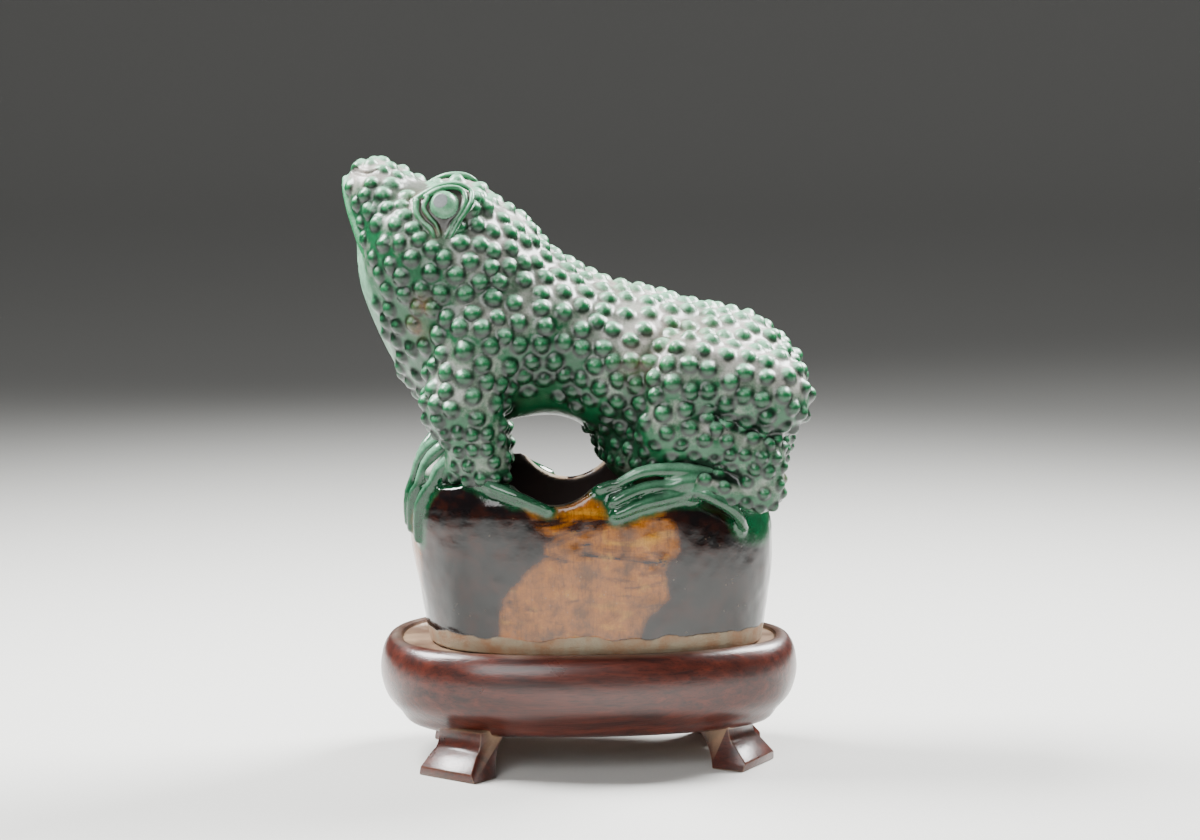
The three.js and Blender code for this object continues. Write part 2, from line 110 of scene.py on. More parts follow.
def node_points(name):
    """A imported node's merged points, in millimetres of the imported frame, and its triangles."""
    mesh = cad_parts[name].data
    flat = np.empty(len(mesh.vertices) * 3)
    mesh.vertices.foreach_get("co", flat)
    mesh.calc_loop_triangles()
    triangles = np.empty(len(mesh.loop_triangles) * 3, np.int32)
    mesh.loop_triangles.foreach_get("vertices", triangles)
    rounded = np.round(flat.reshape(-1, 3) / MM, 3)
    points, place = np.unique(rounded, axis=0, return_inverse=True)
    return points, place.reshape(-1)[triangles].reshape(-1, 3)


MIDDLE = figure_middle()


# Shapes worked out by distance.
def ellipsoid_distance(p, lump):
    centre, radii, dip = lump
    a = math.radians(dip)
    x, y, z = (p - centre).T
    u = (math.cos(a) * x - math.sin(a) * z) / radii[0]
    v = y / radii[1]
    w = (math.sin(a) * x + math.cos(a) * z) / radii[2]
    k = np.sqrt(u * u + v * v + w * w)
    slope = np.sqrt((u / radii[0]) ** 2 + (v / radii[1]) ** 2 + (w / radii[2]) ** 2)
    return k * (k - 1) / np.maximum(slope, 1e-6)


def limb_distance(p, start, end, radii):
    along = np.subtract(end, start, dtype=float)
    q = p - start
    t = np.clip(q @ along / (along @ along), 0, 1)
    return np.linalg.norm(q - t[:, None] * along, axis=1) - (radii[0] + t * (radii[1] - radii[0]))


def blend_min(a, b, softness):
    return np.minimum(a, b) - np.maximum(softness - np.abs(a - b), 0) ** 2 / (4 * softness)


def near_side(p):
    """The same points on the -Y side, because both sides of the toad are alike."""
    return np.column_stack([p[:, 0], -np.abs(p[:, 1]), p[:, 2]])


def skin_distance(p):
    """Signed distance to the toad's bare skin, negative inside."""
    q = near_side(p)
    d = np.full(len(q), 1e3)
    for lump in LUMPS:
        d = blend_min(d, ellipsoid_distance(q, lump), LUMP_BLEND)
    d = blend_min(d, ellipsoid_distance(q, BROW), BROW_BLEND)
    for start, end, radii, softness in LIMBS:
        d = blend_min(d, limb_distance(q, start, end, radii), softness)
    return d


def gradient(distance, p, reach=0.3):
    slopes = []
    for axis in range(3):
        step = np.zeros(3)
        step[axis] = reach
        slopes.append(distance(p + step) - distance(p - step))
    g = np.column_stack(slopes)
    return g / np.maximum(np.linalg.norm(g, axis=1, keepdims=True), 1e-9)


def onto(distance, p, rounds=3):
    """Moves points straight onto the surface of a distance function."""
    for _ in range(rounds):
        p = p - gradient(distance, p) * np.clip(distance(p), -1.5, 1.5)[:, None]
    return p


def ease(start, end, value):
    t = np.clip((value - start) / (end - start), 0, 1)
    return t * t * (3 - 2 * t)


def path_distance(p, path):
    """Distance to a line through points on the -Y side, and how far along it the nearest point is, 0 to 1."""
    q = near_side(p)
    best = np.full(len(q), 1e9)
    where = np.zeros(len(q))
    for i, (a, b) in enumerate(zip(path[:-1], path[1:])):
        along = np.subtract(b, a, dtype=float)
        t = np.clip((q - a) @ along / (along @ along), 0, 1)
        d = np.linalg.norm(q - a - t[:, None] * along, axis=1)
        closer = d < best
        best[closer] = d[closer]
        where[closer] = (i + t[closer]) / (len(path) - 1)
    return best, where


def smooth_line(control, count, closed=False):
    """Points evenly along a Catmull-Rom curve through the control points."""
    c = np.array(control, float)
    padded = np.vstack([c[-1], c, c[:2]]) if closed else np.vstack([2 * c[0] - c[1], c, 2 * c[-1] - c[-2]])
    spans = len(padded) - 3
    fine = []
    for i in range(spans):
        p0, p1, p2, p3 = padded[i : i + 4]
        for t in np.linspace(0, 1, 24, endpoint=False):
            fine.append(
                0.5 * (2 * p1 + (p2 - p0) * t + (2 * p0 - 5 * p1 + 4 * p2 - p3) * t**2
                       + (3 * p1 - p0 - 3 * p2 + p3) * t**3)
            )
    fine.append(padded[-2])
    fine = np.array(fine)
    run = np.concatenate([[0], np.cumsum(np.linalg.norm(np.diff(fine, axis=0), axis=1))])
    at = np.linspace(0, run[-1], count, endpoint=not closed)
    return np.column_stack([np.interp(at, run, fine[:, k]) for k in range(3)])


def rough(p, size, seed):
    """Smooth noise from -1 to 1, with lumps of the given size in millimetres."""
    q = p / size + seed * 17.3
    cell = np.floor(q)
    f = q - cell
    f = f * f * (3 - 2 * f)
    total = np.zeros(len(p))
    for i in (0, 1):
        for j in (0, 1):
            for k in (0, 1):
                corner = cell + (i, j, k)
                value = np.sin(corner @ (127.1, 311.7, 74.7)) * 43758.5453
                value = (value - np.floor(value)) * 2 - 1
                weight = np.prod(np.where((i, j, k), f, 1 - f), axis=1)
                total += value * weight
    return total


# Meshes.
def net_of(distance, low, high, step):
    """A closed mesh of quads round a distance function: one point in each grid cell that it crosses."""
    axes = [np.arange(a, b + step, step) for a, b in zip(low, high)]
    shape = [len(a) for a in axes]
    grid = np.stack(np.meshgrid(*axes, indexing="ij"), -1).reshape(-1, 3)
    d = distance(grid).reshape(shape)
    cells = [n - 1 for n in shape]
    total = np.zeros((np.prod(cells), 3))
    count = np.zeros(np.prod(cells))
    quads = []
    for axis in range(3):
        first = [slice(None)] * 3
        second = [slice(None)] * 3
        first[axis] = slice(0, -1)
        second[axis] = slice(1, None)
        da, db = d[tuple(first)], d[tuple(second)]
        crossing = (da < 0) != (db < 0)
        at = np.argwhere(crossing)
        point = at.astype(float)
        point[:, axis] += da[crossing] / (da[crossing] - db[crossing])
        others = [k for k in range(3) if k != axis]
        corners = []
        for shift in ((-1, -1), (0, -1), (0, 0), (-1, 0)):
            cell = at.copy()
            cell[:, others] += shift
            flat = np.ravel_multi_index(cell.T, cells)
            for k in range(3):
                total[:, k] += np.bincount(flat, point[:, k], len(total))
            count += np.bincount(flat, minlength=len(count))
            corners.append(flat)
        quad = np.column_stack(corners)
        turned = (da[crossing] >= 0) != (axis == 1)
        quad[turned] = quad[turned][:, ::-1]
        quads.append(quad)
    used = count > 0
    number = np.cumsum(used) - 1
    points = total[used] / count[used][:, None] * step + low
    return points, number[np.concatenate(quads)]


def outermost(points, quads):
    """Only the shell that holds the highest point, without any hollow left inside."""
    group = np.arange(len(points))
    while True:
        lowest = group[quads].min(axis=1)
        merged = group.copy()
        for k in range(4):
            np.minimum.at(merged, quads[:, k], lowest)
        merged = merged[merged]
        if (merged == group).all():
            break
        group = merged
    keep = group == group[points[:, 2].argmax()]
    number = np.cumsum(keep) - 1
    return points[keep], number[quads[keep[quads[:, 0]]]]


def neighbour_mean(values, quads):
    a = quads.ravel()
    b = np.roll(quads, -1, axis=1).ravel()
    count = np.bincount(a, minlength=len(values))
    columns = [np.bincount(a, values[b, k], len(values)) / count for k in range(values.shape[1])]
    return np.column_stack(columns)


def face_normals(points, quads):
    """Vertex normals of a quad mesh."""
    across = np.cross(points[quads[:, 2]] - points[quads[:, 0]], points[quads[:, 3]] - points[quads[:, 1]])
    normals = np.zeros_like(points)
    for k in range(4):
        for axis in range(3):
            normals[:, axis] += np.bincount(quads[:, k], across[:, axis], len(points))
    return normals / np.maximum(np.linalg.norm(normals, axis=1, keepdims=True), 1e-12)


def mesh_object(name, points, faces):
    """A piece whose points are given in millimetres about the rock's centre line."""
    mesh = bpy.data.meshes.new(name)
    mesh.from_pydata((points + MIDDLE) * MM, [], faces.tolist())
    made = bpy.data.objects.new(name, mesh)
    bpy.context.scene.collection.objects.link(made)
    made.data.shade_smooth()
    return made


def own_points(piece):
    """A piece's points in millimetres about the rock's centre line."""
    flat = np.empty(len(piece.data.vertices) * 3)
    piece.data.vertices.foreach_get("co", flat)
    return flat.reshape(-1, 3) / MM - MIDDLE


def set_points(piece, points):
    piece.data.vertices.foreach_set("co", ((points + MIDDLE) * MM).ravel())
    piece.data.update()


def set_attribute(piece, name, values):
    layer = piece.data.attributes.new(name, "FLOAT", "POINT")
    layer.data.foreach_set("value", np.asarray(values, np.float32))


def alone(piece):
    """Selects one piece, and nothing else."""
    bpy.ops.object.select_all(action="DESELECT")
    piece.select_set(True)
    bpy.context.view_layer.objects.active = piece


def join(pieces, name):
    alone(pieces[0])
    for piece in pieces:
        piece.select_set(True)
    bpy.ops.object.join()
    pieces[0].name = pieces[0].data.name = name
    return pieces[0]


def apply_modifier(piece, kind, **settings):
    alone(piece)
    modifier = piece.modifiers.new(kind.title(), kind)
    for key, value in settings.items():
        setattr(modifier, key, value)
    bpy.ops.object.modifier_apply(modifier=modifier.name)


def remesh(piece, voxel):
    alone(piece)
    piece.data.remesh_voxel_size = voxel * MM
    piece.data.remesh_voxel_adaptivity = 0
    bpy.ops.object.voxel_remesh()


def quads_of(piece):
    corners = np.empty(len(piece.data.polygons) * 4, np.int32)
    piece.data.polygons.foreach_get("vertices", corners)
    return corners.reshape(-1, 4)


def clay_roll(name, points, radii, sides=16):
    """A round roll of clay along points in millimetres, with a radius at each and rounded ends."""
    curve = bpy.data.curves.new(name, "CURVE")
    curve.dimensions = "3D"
    curve.bevel_depth = MM
    curve.bevel_resolution = sides // 4 - 1
    curve.use_fill_caps = True
    spline = curve.splines.new("POLY")
    spline.points.add(len(points) - 1)
    places = (np.asarray(points) + MIDDLE) * MM
    spline.points.foreach_set("co", np.column_stack([places, np.ones(len(places))]).ravel())
    spline.points.foreach_set("radius", np.asarray(radii, float))
    made = bpy.data.objects.new(name, curve)
    bpy.context.scene.collection.objects.link(made)
    alone(made)
    bpy.ops.object.convert(target="MESH")
    made.data.shade_smooth()
    return made


def rounded(radii, count, sharpness=4):
    """Radii along a roll, from its root to its tip, closing to a dome at both ends."""
    u = np.linspace(0, 1, count)
    return (radii[0] + u * (radii[1] - radii[0])) * np.sqrt(np.clip(1 - np.abs(2 * u - 1) ** (2 * sharpness), 0.002, 1))


def mirrored(points):
    return np.asarray(points) * (1, -1, 1)


def mirrored_piece(piece, name):
    """A copy of a piece on the toad's other side, with its faces still outwards."""
    made = piece.copy()
    made.data = piece.data.copy()
    made.name = made.data.name = name
    bpy.context.scene.collection.objects.link(made)
    set_points(made, mirrored(own_points(piece)))
    made.data.flip_normals()
    return made

# The hollow rock's wall as (inset from the oval, height): up the outside, over the rim and down the inside.
ROCK_WALL = (
    (3.4, 39.1), (1.6, 55), (0.2, 70), (0, 82), (0.8, 89), (2.4, 93), (4.2, 94.5), (6.4, 92.6), (6, 80), (7.2, 39.1),
)
ROCK_LEAN = 4.8
REAR_DROP = 10.5
FRONT_DROP = 3.5
# Bites out of the rim: side, centre along X and lowest point. Each is part of a cylinder along Y.
BITES = ((-1, -11, 87.6), (1, -7, 85.8))
BITE_RADIUS = 16


def unwarped(p):
    """Undoes the rock's lean and the fall of its rim, so its wall is the plain profile again."""
    x, y, z = p.T
    drop = REAR_DROP * ease(16, 58, x) + FRONT_DROP * ease(-30, -58, x)
    z = SEAT + (z - SEAT) / (1 - drop / (ROCK["rim"] - SEAT))
    down = np.clip((ROCK["rim"] - z) / (ROCK["rim"] - SEAT), 0, 1)
    x = x - ROCK_LEAN * np.clip(0.5 - x / ROCK["length"], 0, 1) * down**0.85
    return x, y, z


def oval_inset(x, y, oval):
    """How far inside an oval's edge a point is, in millimetres."""
    n = oval["squareness"]
    half_length = oval["length"] / 2
    half_depth = oval["depth"] / 2 * (1 - oval["taper"] * np.clip(x / half_length, -1, 1))
    u = np.abs(x) / half_length
    v = np.abs(y) / half_depth
    edge = np.maximum((u**n + v**n) ** (1 / n), 1e-3)
    slope = np.hypot((u / edge) ** (n - 1) / half_length, (v / edge) ** (n - 1) / half_depth)
    return (1 - edge) / slope


def outline_distance(a, b, corners):
    """Signed distance in a plane to a closed outline, negative inside."""
    best = np.full(len(a), 1e9)
    inside = np.zeros(len(a), bool)
    for (a0, b0), (a1, b1) in zip(corners, np.roll(corners, -1, axis=0)):
        da, db = a1 - a0, b1 - b0
        t = np.clip(((a - a0) * da + (b - b0) * db) / (da * da + db * db), 0, 1)
        best = np.minimum(best, (a - a0 - t * da) ** 2 + (b - b0 - t * db) ** 2)
        if db:
            crosses = ((b0 <= b) != (b1 <= b)) & (a < a0 + (b - b0) * da / db)
            inside ^= crosses
    return np.where(inside, -1, 1) * np.sqrt(best)


WALL_OUTLINE = smooth_line([(inset, z, 0) for inset, z in ROCK_WALL], 34)[:, :2]
HAND = LIMBS[2]


def rock_distance(p):
    x, y, z = unwarped(p)
    d = outline_distance(oval_inset(x, y, ROCK), z, WALL_OUTLINE)
    for side, at, bottom in BITES:
        bite = np.hypot(p[:, 0] - at, p[:, 2] - bottom - BITE_RADIUS) - BITE_RADIUS
        bite = np.maximum(bite, 27 - side * p[:, 1])
        d = -blend_min(-d, bite, 2)
    return d


def pressed(path):
    """A toe's line, with every point that comes near the rock laid half a millimetre above its surface."""
    line = smooth_line(path, 12)
    height = rock_distance(line)
    lying = ease(5, 2.5, height)
    return line - gradient(rock_distance, line) * ((height - 0.5) * lying)[:, None]


TOE_LINES = [(pressed(path), radii) for path, radii in TOES]


def toe_distance(p):
    """Distance to the nearest toe, each a tapering roll."""
    d = np.full(len(p), 1e3)
    near = (np.abs(p[:, 1]) > 3) & (p[:, 2] > 66) & (p[:, 2] < 112)
    q = p[near]
    best = d[near]
    for line, radii in TOE_LINES:
        apart, where = path_distance(q, line)
        best = blend_min(best, apart - (radii[0] + where * (radii[1] - radii[0])), 0.9)
    d[near] = best
    return d


def footed_rock_distance(p):
    """The rock with the toes and the heel of each hand pressed onto it."""
    start, end, radii, softness = HAND
    hand = limb_distance(near_side(p), start, end, radii) + 0.5
    feet = blend_min(toe_distance(p), hand, 1.5)
    return blend_min(rock_distance(p), feet, 1.8)


# Lines on the near side of the head. The far side repeats them.
MOUTH = ((-77.6, 0, 187.3), (-77.2, -4.5, 184), (-75, -9.5, 176), (-71.2, -14.6, 165), (-68, -17.5, 157))
NOSTRIL = ((-75, -5.5, 190.8), (-72.6, -9.6, 190.4), (-69.8, -11.4, 190.2), (-67.8, -11.3, 190.6))
OUTER_LID = (
    (-54.5, -20.5, 182.5), (-49.5, -20.9, 185.6), (-45.2, -19.8, 187.2), (-40.6, -19.3, 187.4), (-36.8, -19.9, 185.6),
    (-36.9, -23.3, 182.3), (-38.7, -25, 178.9), (-41.1, -26, 175.5), (-43.8, -28, 170),
)
INNER_LID = (
    (-51.2, -22.6, 183.6), (-47.2, -22.2, 185.8), (-43.3, -21.5, 186.6), (-39.9, -21.4, 185.9), (-38.7, -23.5, 182.9),
    (-40.2, -25.2, 179), (-42.6, -26, 175.7), (-45.2, -27.8, 170.6),
)
LOWER_LID = (
    (-50.6, -23.3, 183.3), (-51.7, -24.2, 180.3), (-50.1, -25.5, 177.6), (-47.9, -26.4, 175.2), (-46.6, -27.4, 171.8),
)
CHEEK_FOLD = (
    (-54.2, -22, 181.8), (-54, -23.9, 178.6), (-52, -25.5, 175.8), (-49.4, -26.9, 173.6), (-48.4, -28, 170.8),
)
LIDS = ((OUTER_LID, 0.85), (INNER_LID, 0.75), (LOWER_LID, 0.65), (CHEEK_FOLD, 1))
EYEBALL = ((-45.3, -23.2, 180.9), (4.5, 4.3, 4.6), 0)
# The flat of the pupil: the way that it faces, and how far it lies from the middle of the ball.
PUPIL_WAY = np.array((-0.3, -0.84, 0.45))
PUPIL_REACH = 3.75

LID_LINES = [(smooth_line(line, 26), radius) for line, radius in LIDS]
MOUTH_LINE = smooth_line(MOUTH, 20)
NOSTRIL_LINE = smooth_line(NOSTRIL, 6)
# Patches of finer skin: centre, reach and mesh step.
EYE_PATCH = ((-45.8, -21, 180), 13.5, 0.34)
MOUTH_PATCH = ((-72.5, 0, 178), 23, 0.5)
PATCH_DEPTH = 2.6


def pupil_distance(p):
    """Distance above the flat of the pupil."""
    return (near_side(p) - EYEBALL[0]) @ PUPIL_WAY - PUPIL_REACH


def head_distance(p):
    """The skin with its lips, nostrils, eyelids and eyeballs."""
    d = skin_distance(p)
    lip, along = path_distance(p, MOUTH_LINE)
    d = blend_min(d, lip - 1.35, 1.2)
    slit, along = path_distance(p + (-0.2, 0, 2.2), MOUTH_LINE)
    d = -blend_min(-d, slit - 0.55 - 0.9 * along**2, 0.5)
    pit, along = path_distance(p, NOSTRIL_LINE)
    d = -blend_min(-d, pit - 1, 0.5)
    for line, radius in LID_LINES:
        ridge, along = path_distance(p, line)
        d = blend_min(d, ridge - radius * (1.15 - 0.35 * along), 0.35)
    ball = np.maximum(ellipsoid_distance(near_side(p), EYEBALL), pupil_distance(p))
    return blend_min(d, ball, 0.3)


# Warts on the near side of the head, each by its place in X, Y and Z. The far side repeats them.
HEAD_WARTS = (
    (-49, -9, 187), (-35, -11, 185), (-34, -20, 184), (-31, -8, 181), (-36, -24, 180), (-32, -19, 180), (-35, -24, 175),
    (-41, -26, 174), (-40, -28, 169.5), (-34, -27, 169), (-30, -27, 167), (-37, -30, 164), (-45.5, -31, 165),
    (-49, -30, 168), (-53, -29, 171), (-55, -27, 174), (-58, -24, 178), (-59, -20.5, 181), (-57, -17, 184),
    (-62, -14, 187), (-60, -9, 189), (-65, -10, 191), (-69, -6, 193), (-74.5, -5, 193.5), (-69, -14.5, 187.5),
    (-65, -17, 184), (-71, -15.5, 183.5), (-69.5, -17.5, 179), (-63.5, -20.5, 180), (-74, -12.5, 180.5),
    (-67, -21, 175), (-61, -25, 175.5), (-71, -16, 169.5), (-65, -25, 169), (-59.5, -28, 170), (-68, -21, 164),
    (-55.5, -30, 165), (-62.5, -26.5, 162.5), (-49.5, -31, 160.5), (-41.5, -31.5, 160), (-59, -28.5, 159),
    (-66, -22.5, 159), (-34, -31, 157.5), (-28, -29.5, 157.5), (-63.5, -24, 154), (-58, -28, 153), (-52.5, -30.5, 155),
    (-46.5, -31.5, 154), (-38.5, -32, 154), (-30, -31, 152.5), (-24.5, -23, 167.5), (-25, -26.5, 162),
    (-30.5, -29, 162), (-27, -15, 176), (-30, -23, 173), (-25.5, -5, 178), (-22.5, -13, 173),
)
THROAT = ((122, 134, 150, 166, 178, 188), (0, 13, 17, 13.5, 9, 3.5))
# The least height of a wart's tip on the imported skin, and the most of its surroundings.
APEX_LEAST = 0.8
APEX_SURROUND = 0.45
# Below this height the legs carry smaller and closer warts.
LOW_LEG = 113


def throat_share(p, normals):
    """1 on the smooth plate of the throat, 0 elsewhere."""
    q = near_side(p)
    front = ease(-0.05, -0.3, normals[:, 0]) * ease(-47, -52, q[:, 0])
    return front * ease(-1.5, 1.5, np.interp(q[:, 2], *THROAT) + q[:, 1])


def grows_warts(p, normals):
    """Whether warts grow at points of the bare skin."""
    q = near_side(p)
    x, y, z = q.T
    eye = (((x + 45.5) / 10) ** 2 + ((z - 180) / 11) ** 2 < 1) & (y < -13)
    temple = (((x + 54) / 5.5) ** 2 + ((z - 184) / 3.5) ** 2 < 1) & (y < -8)
    lips = path_distance(p, MOUTH)[0] < 4
    nose = path_distance(p, NOSTRIL)[0] < 3
    hand = (x < -43.5) & (z < 104.5)
    foot = (x < 33) & (x > 0) & (z < 99.5)
    hidden = (normals[:, 2] < -0.72) | (rock_distance(p) < 1.6)
    return ~(eye | temple | lips | nose | hand | foot | hidden) & (throat_share(p, normals) < 0.4)


def packed_warts():
    """The feet, on the bare skin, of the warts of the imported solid."""
    points, triangles = node_points("porcelain_toad")
    points = points - MIDDLE
    d = skin_distance(points)
    a = np.concatenate([triangles[:, i] for i in (0, 1, 2)])
    b = np.concatenate([triangles[:, (i + 1) % 3] for i in (0, 1, 2)])
    count = np.maximum(np.bincount(a, minlength=len(points)), 1)
    around = np.bincount(a, np.abs(d[b]), len(points)) / count
    reach = np.bincount(a, np.linalg.norm(points[a] - points[b], axis=1), len(points)) / count
    apex = (d > APEX_LEAST) & (d < 2.2) & (around < APEX_SURROUND) & (reach < 6.5)
    return onto(skin_distance, points[apex], 2)


def tree_of(points):
    tree = kdtree.KDTree(len(points))
    for i, point in enumerate(points):
        tree.insert(point, i)
    tree.balance()
    return tree


def gap_fillers(skin, feet, gap):
    """More feet, each put where the skin lies furthest from all the others, until no gap is that wide."""
    tree = tree_of(feet)
    apart = np.array([tree.find(p)[2] for p in skin])
    added = []
    while apart.max() > gap:
        foot = skin[apart.argmax()]
        added.append(foot)
        apart = np.minimum(apart, np.linalg.norm(skin - foot, axis=1))
    return np.array(added).reshape(-1, 3)


class Warts:
    """Every wart's foot, direction, radius and height."""

    def __init__(self, skin, normals):
        head = np.array(HEAD_WARTS, float)
        head = onto(skin_distance, np.vstack([head, mirrored(head)]))
        packed = packed_warts()
        tree = tree_of(head)
        clear = np.array([tree.find(p)[2] > 5.2 for p in packed])
        at_face = (packed[:, 0] < -34) & (packed[:, 2] > 158) & (np.abs(packed[:, 1]) > 8)
        packed = packed[clear & ~at_face & (packed[:, 2] > LOW_LEG)]
        growing = grows_warts(packed, gradient(skin_distance, packed))
        feet = np.vstack([head, packed[growing]])
        room = grows_warts(skin, normals)
        low = skin[:, 2] < LOW_LEG
        feet = np.vstack([feet, gap_fillers(skin[room & low], feet, 4.5)])
        feet = np.vstack([feet, gap_fillers(skin[room & ~low], feet, 5.5)])
        self.feet = feet
        self.tree = tree_of(feet)
        self.way = gradient(skin_distance, feet)
        size = 2.75 - 0.7 * ease(LOW_LEG + 6, LOW_LEG - 8, feet[:, 2])
        size -= 0.35 * ease(-40, -62, feet[:, 0]) * ease(150, 172, feet[:, 2])
        self.radius = size * (1 + 0.08 * rough(feet, 5, 3))
        self.height = self.radius * (0.74 + 0.08 * rough(feet, 6, 8)) * (1 - 0.18 * ease(-45, -66, feet[:, 0]))

    def raise_skin(self, points, normals):
        """How the warts move points of the bare skin, and how many radii each point is from its wart."""
        nearest = np.array([self.tree.find(p)[1] for p in points])
        wobble = np.column_stack([rough(points, 4.5, seed) for seed in (11, 12, 13)])
        unruly = 0.3 + 0.5 * ease(-50, -66, points[:, 0]) * ease(150, 172, points[:, 2])
        apart = points - self.feet[nearest] + wobble * unruly[:, None]
        up = self.way[nearest]
        apart -= up * np.einsum("ij,ij->i", apart, up)[:, None]
        t = np.linalg.norm(apart, axis=1) / self.radius[nearest]
        dome = np.exp(-((t / 0.88) ** 3.2))
        way = normals + up
        way /= np.linalg.norm(way, axis=1, keepdims=True)
        return way * (dome * self.height[nearest])[:, None], t


# Brown spots where the glaze is thin or worn: place on the near side, reach and strength.
STAINS = (
    ((26.3, -26.3, 140.3), 8, 0.55), ((16.2, -32.3, 132.5), 6, 0.5), ((34, -21, 141), 8, 0.5), ((10, -6, 153.5), 9, 0.4),
    ((-52.3, -29.9, 150.3), 3, 1), ((-53.7, -27.6, 143), 3.4, 1), ((-50.5, -24.4, 179), 3, 0.8),
    ((-47.6, -26.5, 174.5), 3, 0.7), ((-71, -9.5, 188.8), 3.6, 0.8), ((-54, -20, 184), 5, 0.6),
    ((60, -18, 128), 4, 0.7), ((62, -24, 96), 4, 0.6),
)


def stain_share(p):
    q = near_side(p)
    share = np.zeros(len(q))
    for place, reach, strength in STAINS:
        share = np.maximum(share, strength * np.exp(-((np.linalg.norm(q - place, axis=1) / reach) ** 2)))
    return share


def skin_attributes(piece, base, normals, t):
    """Where the glaze ran thin on skin that faces up and takes painted light, where creases and the skin by the rock
    take pooled glaze and painted shade, and where the skin is smooth, read off the bare skin under each point.
    """
    plate = throat_share(base, normals)
    # Painted shade: how closed in each point is by the skin around it, and how near the rock, darkens creases and the
    # skin where the toad meets the rock, together with pooled glaze.
    pooling_and_shade = 1 - np.clip(skin_distance(base + normals * 7) / 7, 0, 1)
    rock_contact_shade = ease(7, 0, rock_distance(base))
    # Painted light from above: skin that faces up, and the sides of the throat plate, are marked lit.
    lit = ease(-0.3, 0.8, normals[:, 2] + 0.2 * rough(base, 14, 5))
    lit = np.maximum(lit, plate * ease(0.3, 0.75, np.abs(normals[:, 1])))
    set_attribute(piece, "from_wart", np.clip(t / 2, 0, 1))
    set_attribute(piece, "lit_side", lit)
    set_attribute(piece, "pooling_and_shade", np.clip(np.maximum(pooling_and_shade * 2.2, rock_contact_shade), 0, 1) * (1 - plate))
    set_attribute(piece, "smooth", plate)
    set_attribute(piece, "stain", stain_share(base))

# The stand's block as (inset from the oval, height): up the moulded side, over the rim and onto the seat.
STAND_SIDE = (
    (18, 12), (9.5, 12.8), (6, 16.5), (2.2, 21), (0.4, 26), (0, 30.5), (0.8, 35.5), (2.6, 38.8), (4.6, 40), (6.4, 40),
    (7.2, 38.8),
)
# The feet: where each stands and which way it faces, in degrees.
FEET = (((-42.5, -35.5), 232), ((51, -17), 332), ((-40, 25), 132), ((47, 25), 34))
FOOT_WIDTH = 23


def on_oval(angle, inset, oval):
    """The point at an angle round an oval, moved inwards by its inset."""
    power = 2 / oval["squareness"]

    def edge(a):
        along = np.sign(np.cos(a)) * np.abs(np.cos(a)) ** power
        across = np.sign(np.sin(a)) * np.abs(np.sin(a)) ** power * (1 - oval["taper"] * along)
        return np.column_stack([along * oval["length"] / 2, across * oval["depth"] / 2])

    ahead = edge(angle + 1e-3) - edge(angle - 1e-3)
    ahead /= np.linalg.norm(ahead, axis=1, keepdims=True)
    outward = np.column_stack([ahead[:, 1], -ahead[:, 0]])
    return edge(angle) - outward * inset[:, None]


def turned_block():
    """The moulded block: a circle drawn up ring by ring, with each ring's radius 100 less its inset."""
    rings = smooth_line([(inset, z, 0) for inset, z in STAND_SIDE], 44)
    bpy.ops.object.select_all(action="DESELECT")
    first = rings[0]
    bpy.ops.mesh.primitive_circle_add(vertices=144, radius=(100 - first[0]) * MM, location=(0, 0, first[1] * MM))
    block = bpy.context.active_object
    bpy.ops.object.transform_apply(location=True)
    bpy.ops.object.mode_set(mode="EDIT")
    bpy.ops.mesh.select_all(action="SELECT")
    bpy.ops.mesh.edge_face_add()
    for before, ring in zip(rings[:-1], rings[1:]):
        bpy.ops.mesh.extrude_region_move(TRANSFORM_OT_translate={"value": (0, 0, (ring[1] - before[1]) * MM)})
        grow = (100 - ring[0]) / (100 - before[0])
        bpy.ops.transform.resize(value=(grow, grow, 1), center_override=(0, 0, ring[1] * MM))
    bpy.ops.mesh.select_all(action="SELECT")
    bpy.ops.mesh.normals_make_consistent(inside=False)
    bpy.ops.object.mode_set(mode="OBJECT")
    points = own_points(block) + MIDDLE
    angle = np.arctan2(points[:, 1], points[:, 0])
    inset = 100 - np.hypot(points[:, 0], points[:, 1])
    points[:, :2] = on_oval(angle, inset, STAND)
    set_points(block, points)
    return block


def carved_foot(at, facing):
    """A short flared foot: its outline drawn out to its width, narrowed towards the top and eased."""
    upper = bow((-2.5, 15), (-2.6, 8.8), (0, 7.8), 6)
    under = bow((-7, 0), (-8.5, 7), (-14, 12), 8)
    outline = [(-14, 15)] + upper + [(4.6, 2.8), (4.2, 0)] + under
    half = FOOT_WIDTH / 2
    points = np.array([(out, -half, z) for out, z in outline])
    foot = mesh_object("foot", points, np.arange(len(points))[None])
    alone(foot)
    bpy.ops.object.mode_set(mode="EDIT")
    bpy.ops.mesh.select_all(action="SELECT")
    bpy.ops.mesh.extrude_region_move(TRANSFORM_OT_translate={"value": (0, FOOT_WIDTH * MM, 0)})
    bpy.ops.mesh.select_all(action="SELECT")
    bpy.ops.mesh.normals_make_consistent(inside=False)
    bpy.ops.object.mode_set(mode="OBJECT")
    apply_modifier(foot, "BEVEL", width=0.5 * MM, segments=2, limit_method="ANGLE", angle_limit=math.radians(35))
    points = own_points(foot)
    points[:, 1] *= 1 - 0.24 * np.clip(points[:, 2] / 9, 0, 1)
    turn = math.radians(facing)
    x, y = points[:, 0].copy(), points[:, 1].copy()
    points[:, 0] = at[0] + x * math.cos(turn) - y * math.sin(turn)
    points[:, 1] = at[1] + x * math.sin(turn) + y * math.cos(turn)
    set_points(foot, points)
    return foot


def bow(start, control, end, steps):
    """Points along a quadratic bow from start to end."""
    t = np.linspace(0, 1, steps)[:, None]
    return [tuple(p) for p in (1 - t) ** 2 * start + 2 * t * (1 - t) * np.array(control) + t**2 * np.array(end)]


def apply_union(body, piece):
    apply_modifier(body, "BOOLEAN", operation="UNION", solver="EXACT", object=piece)
    bpy.data.objects.remove(piece)



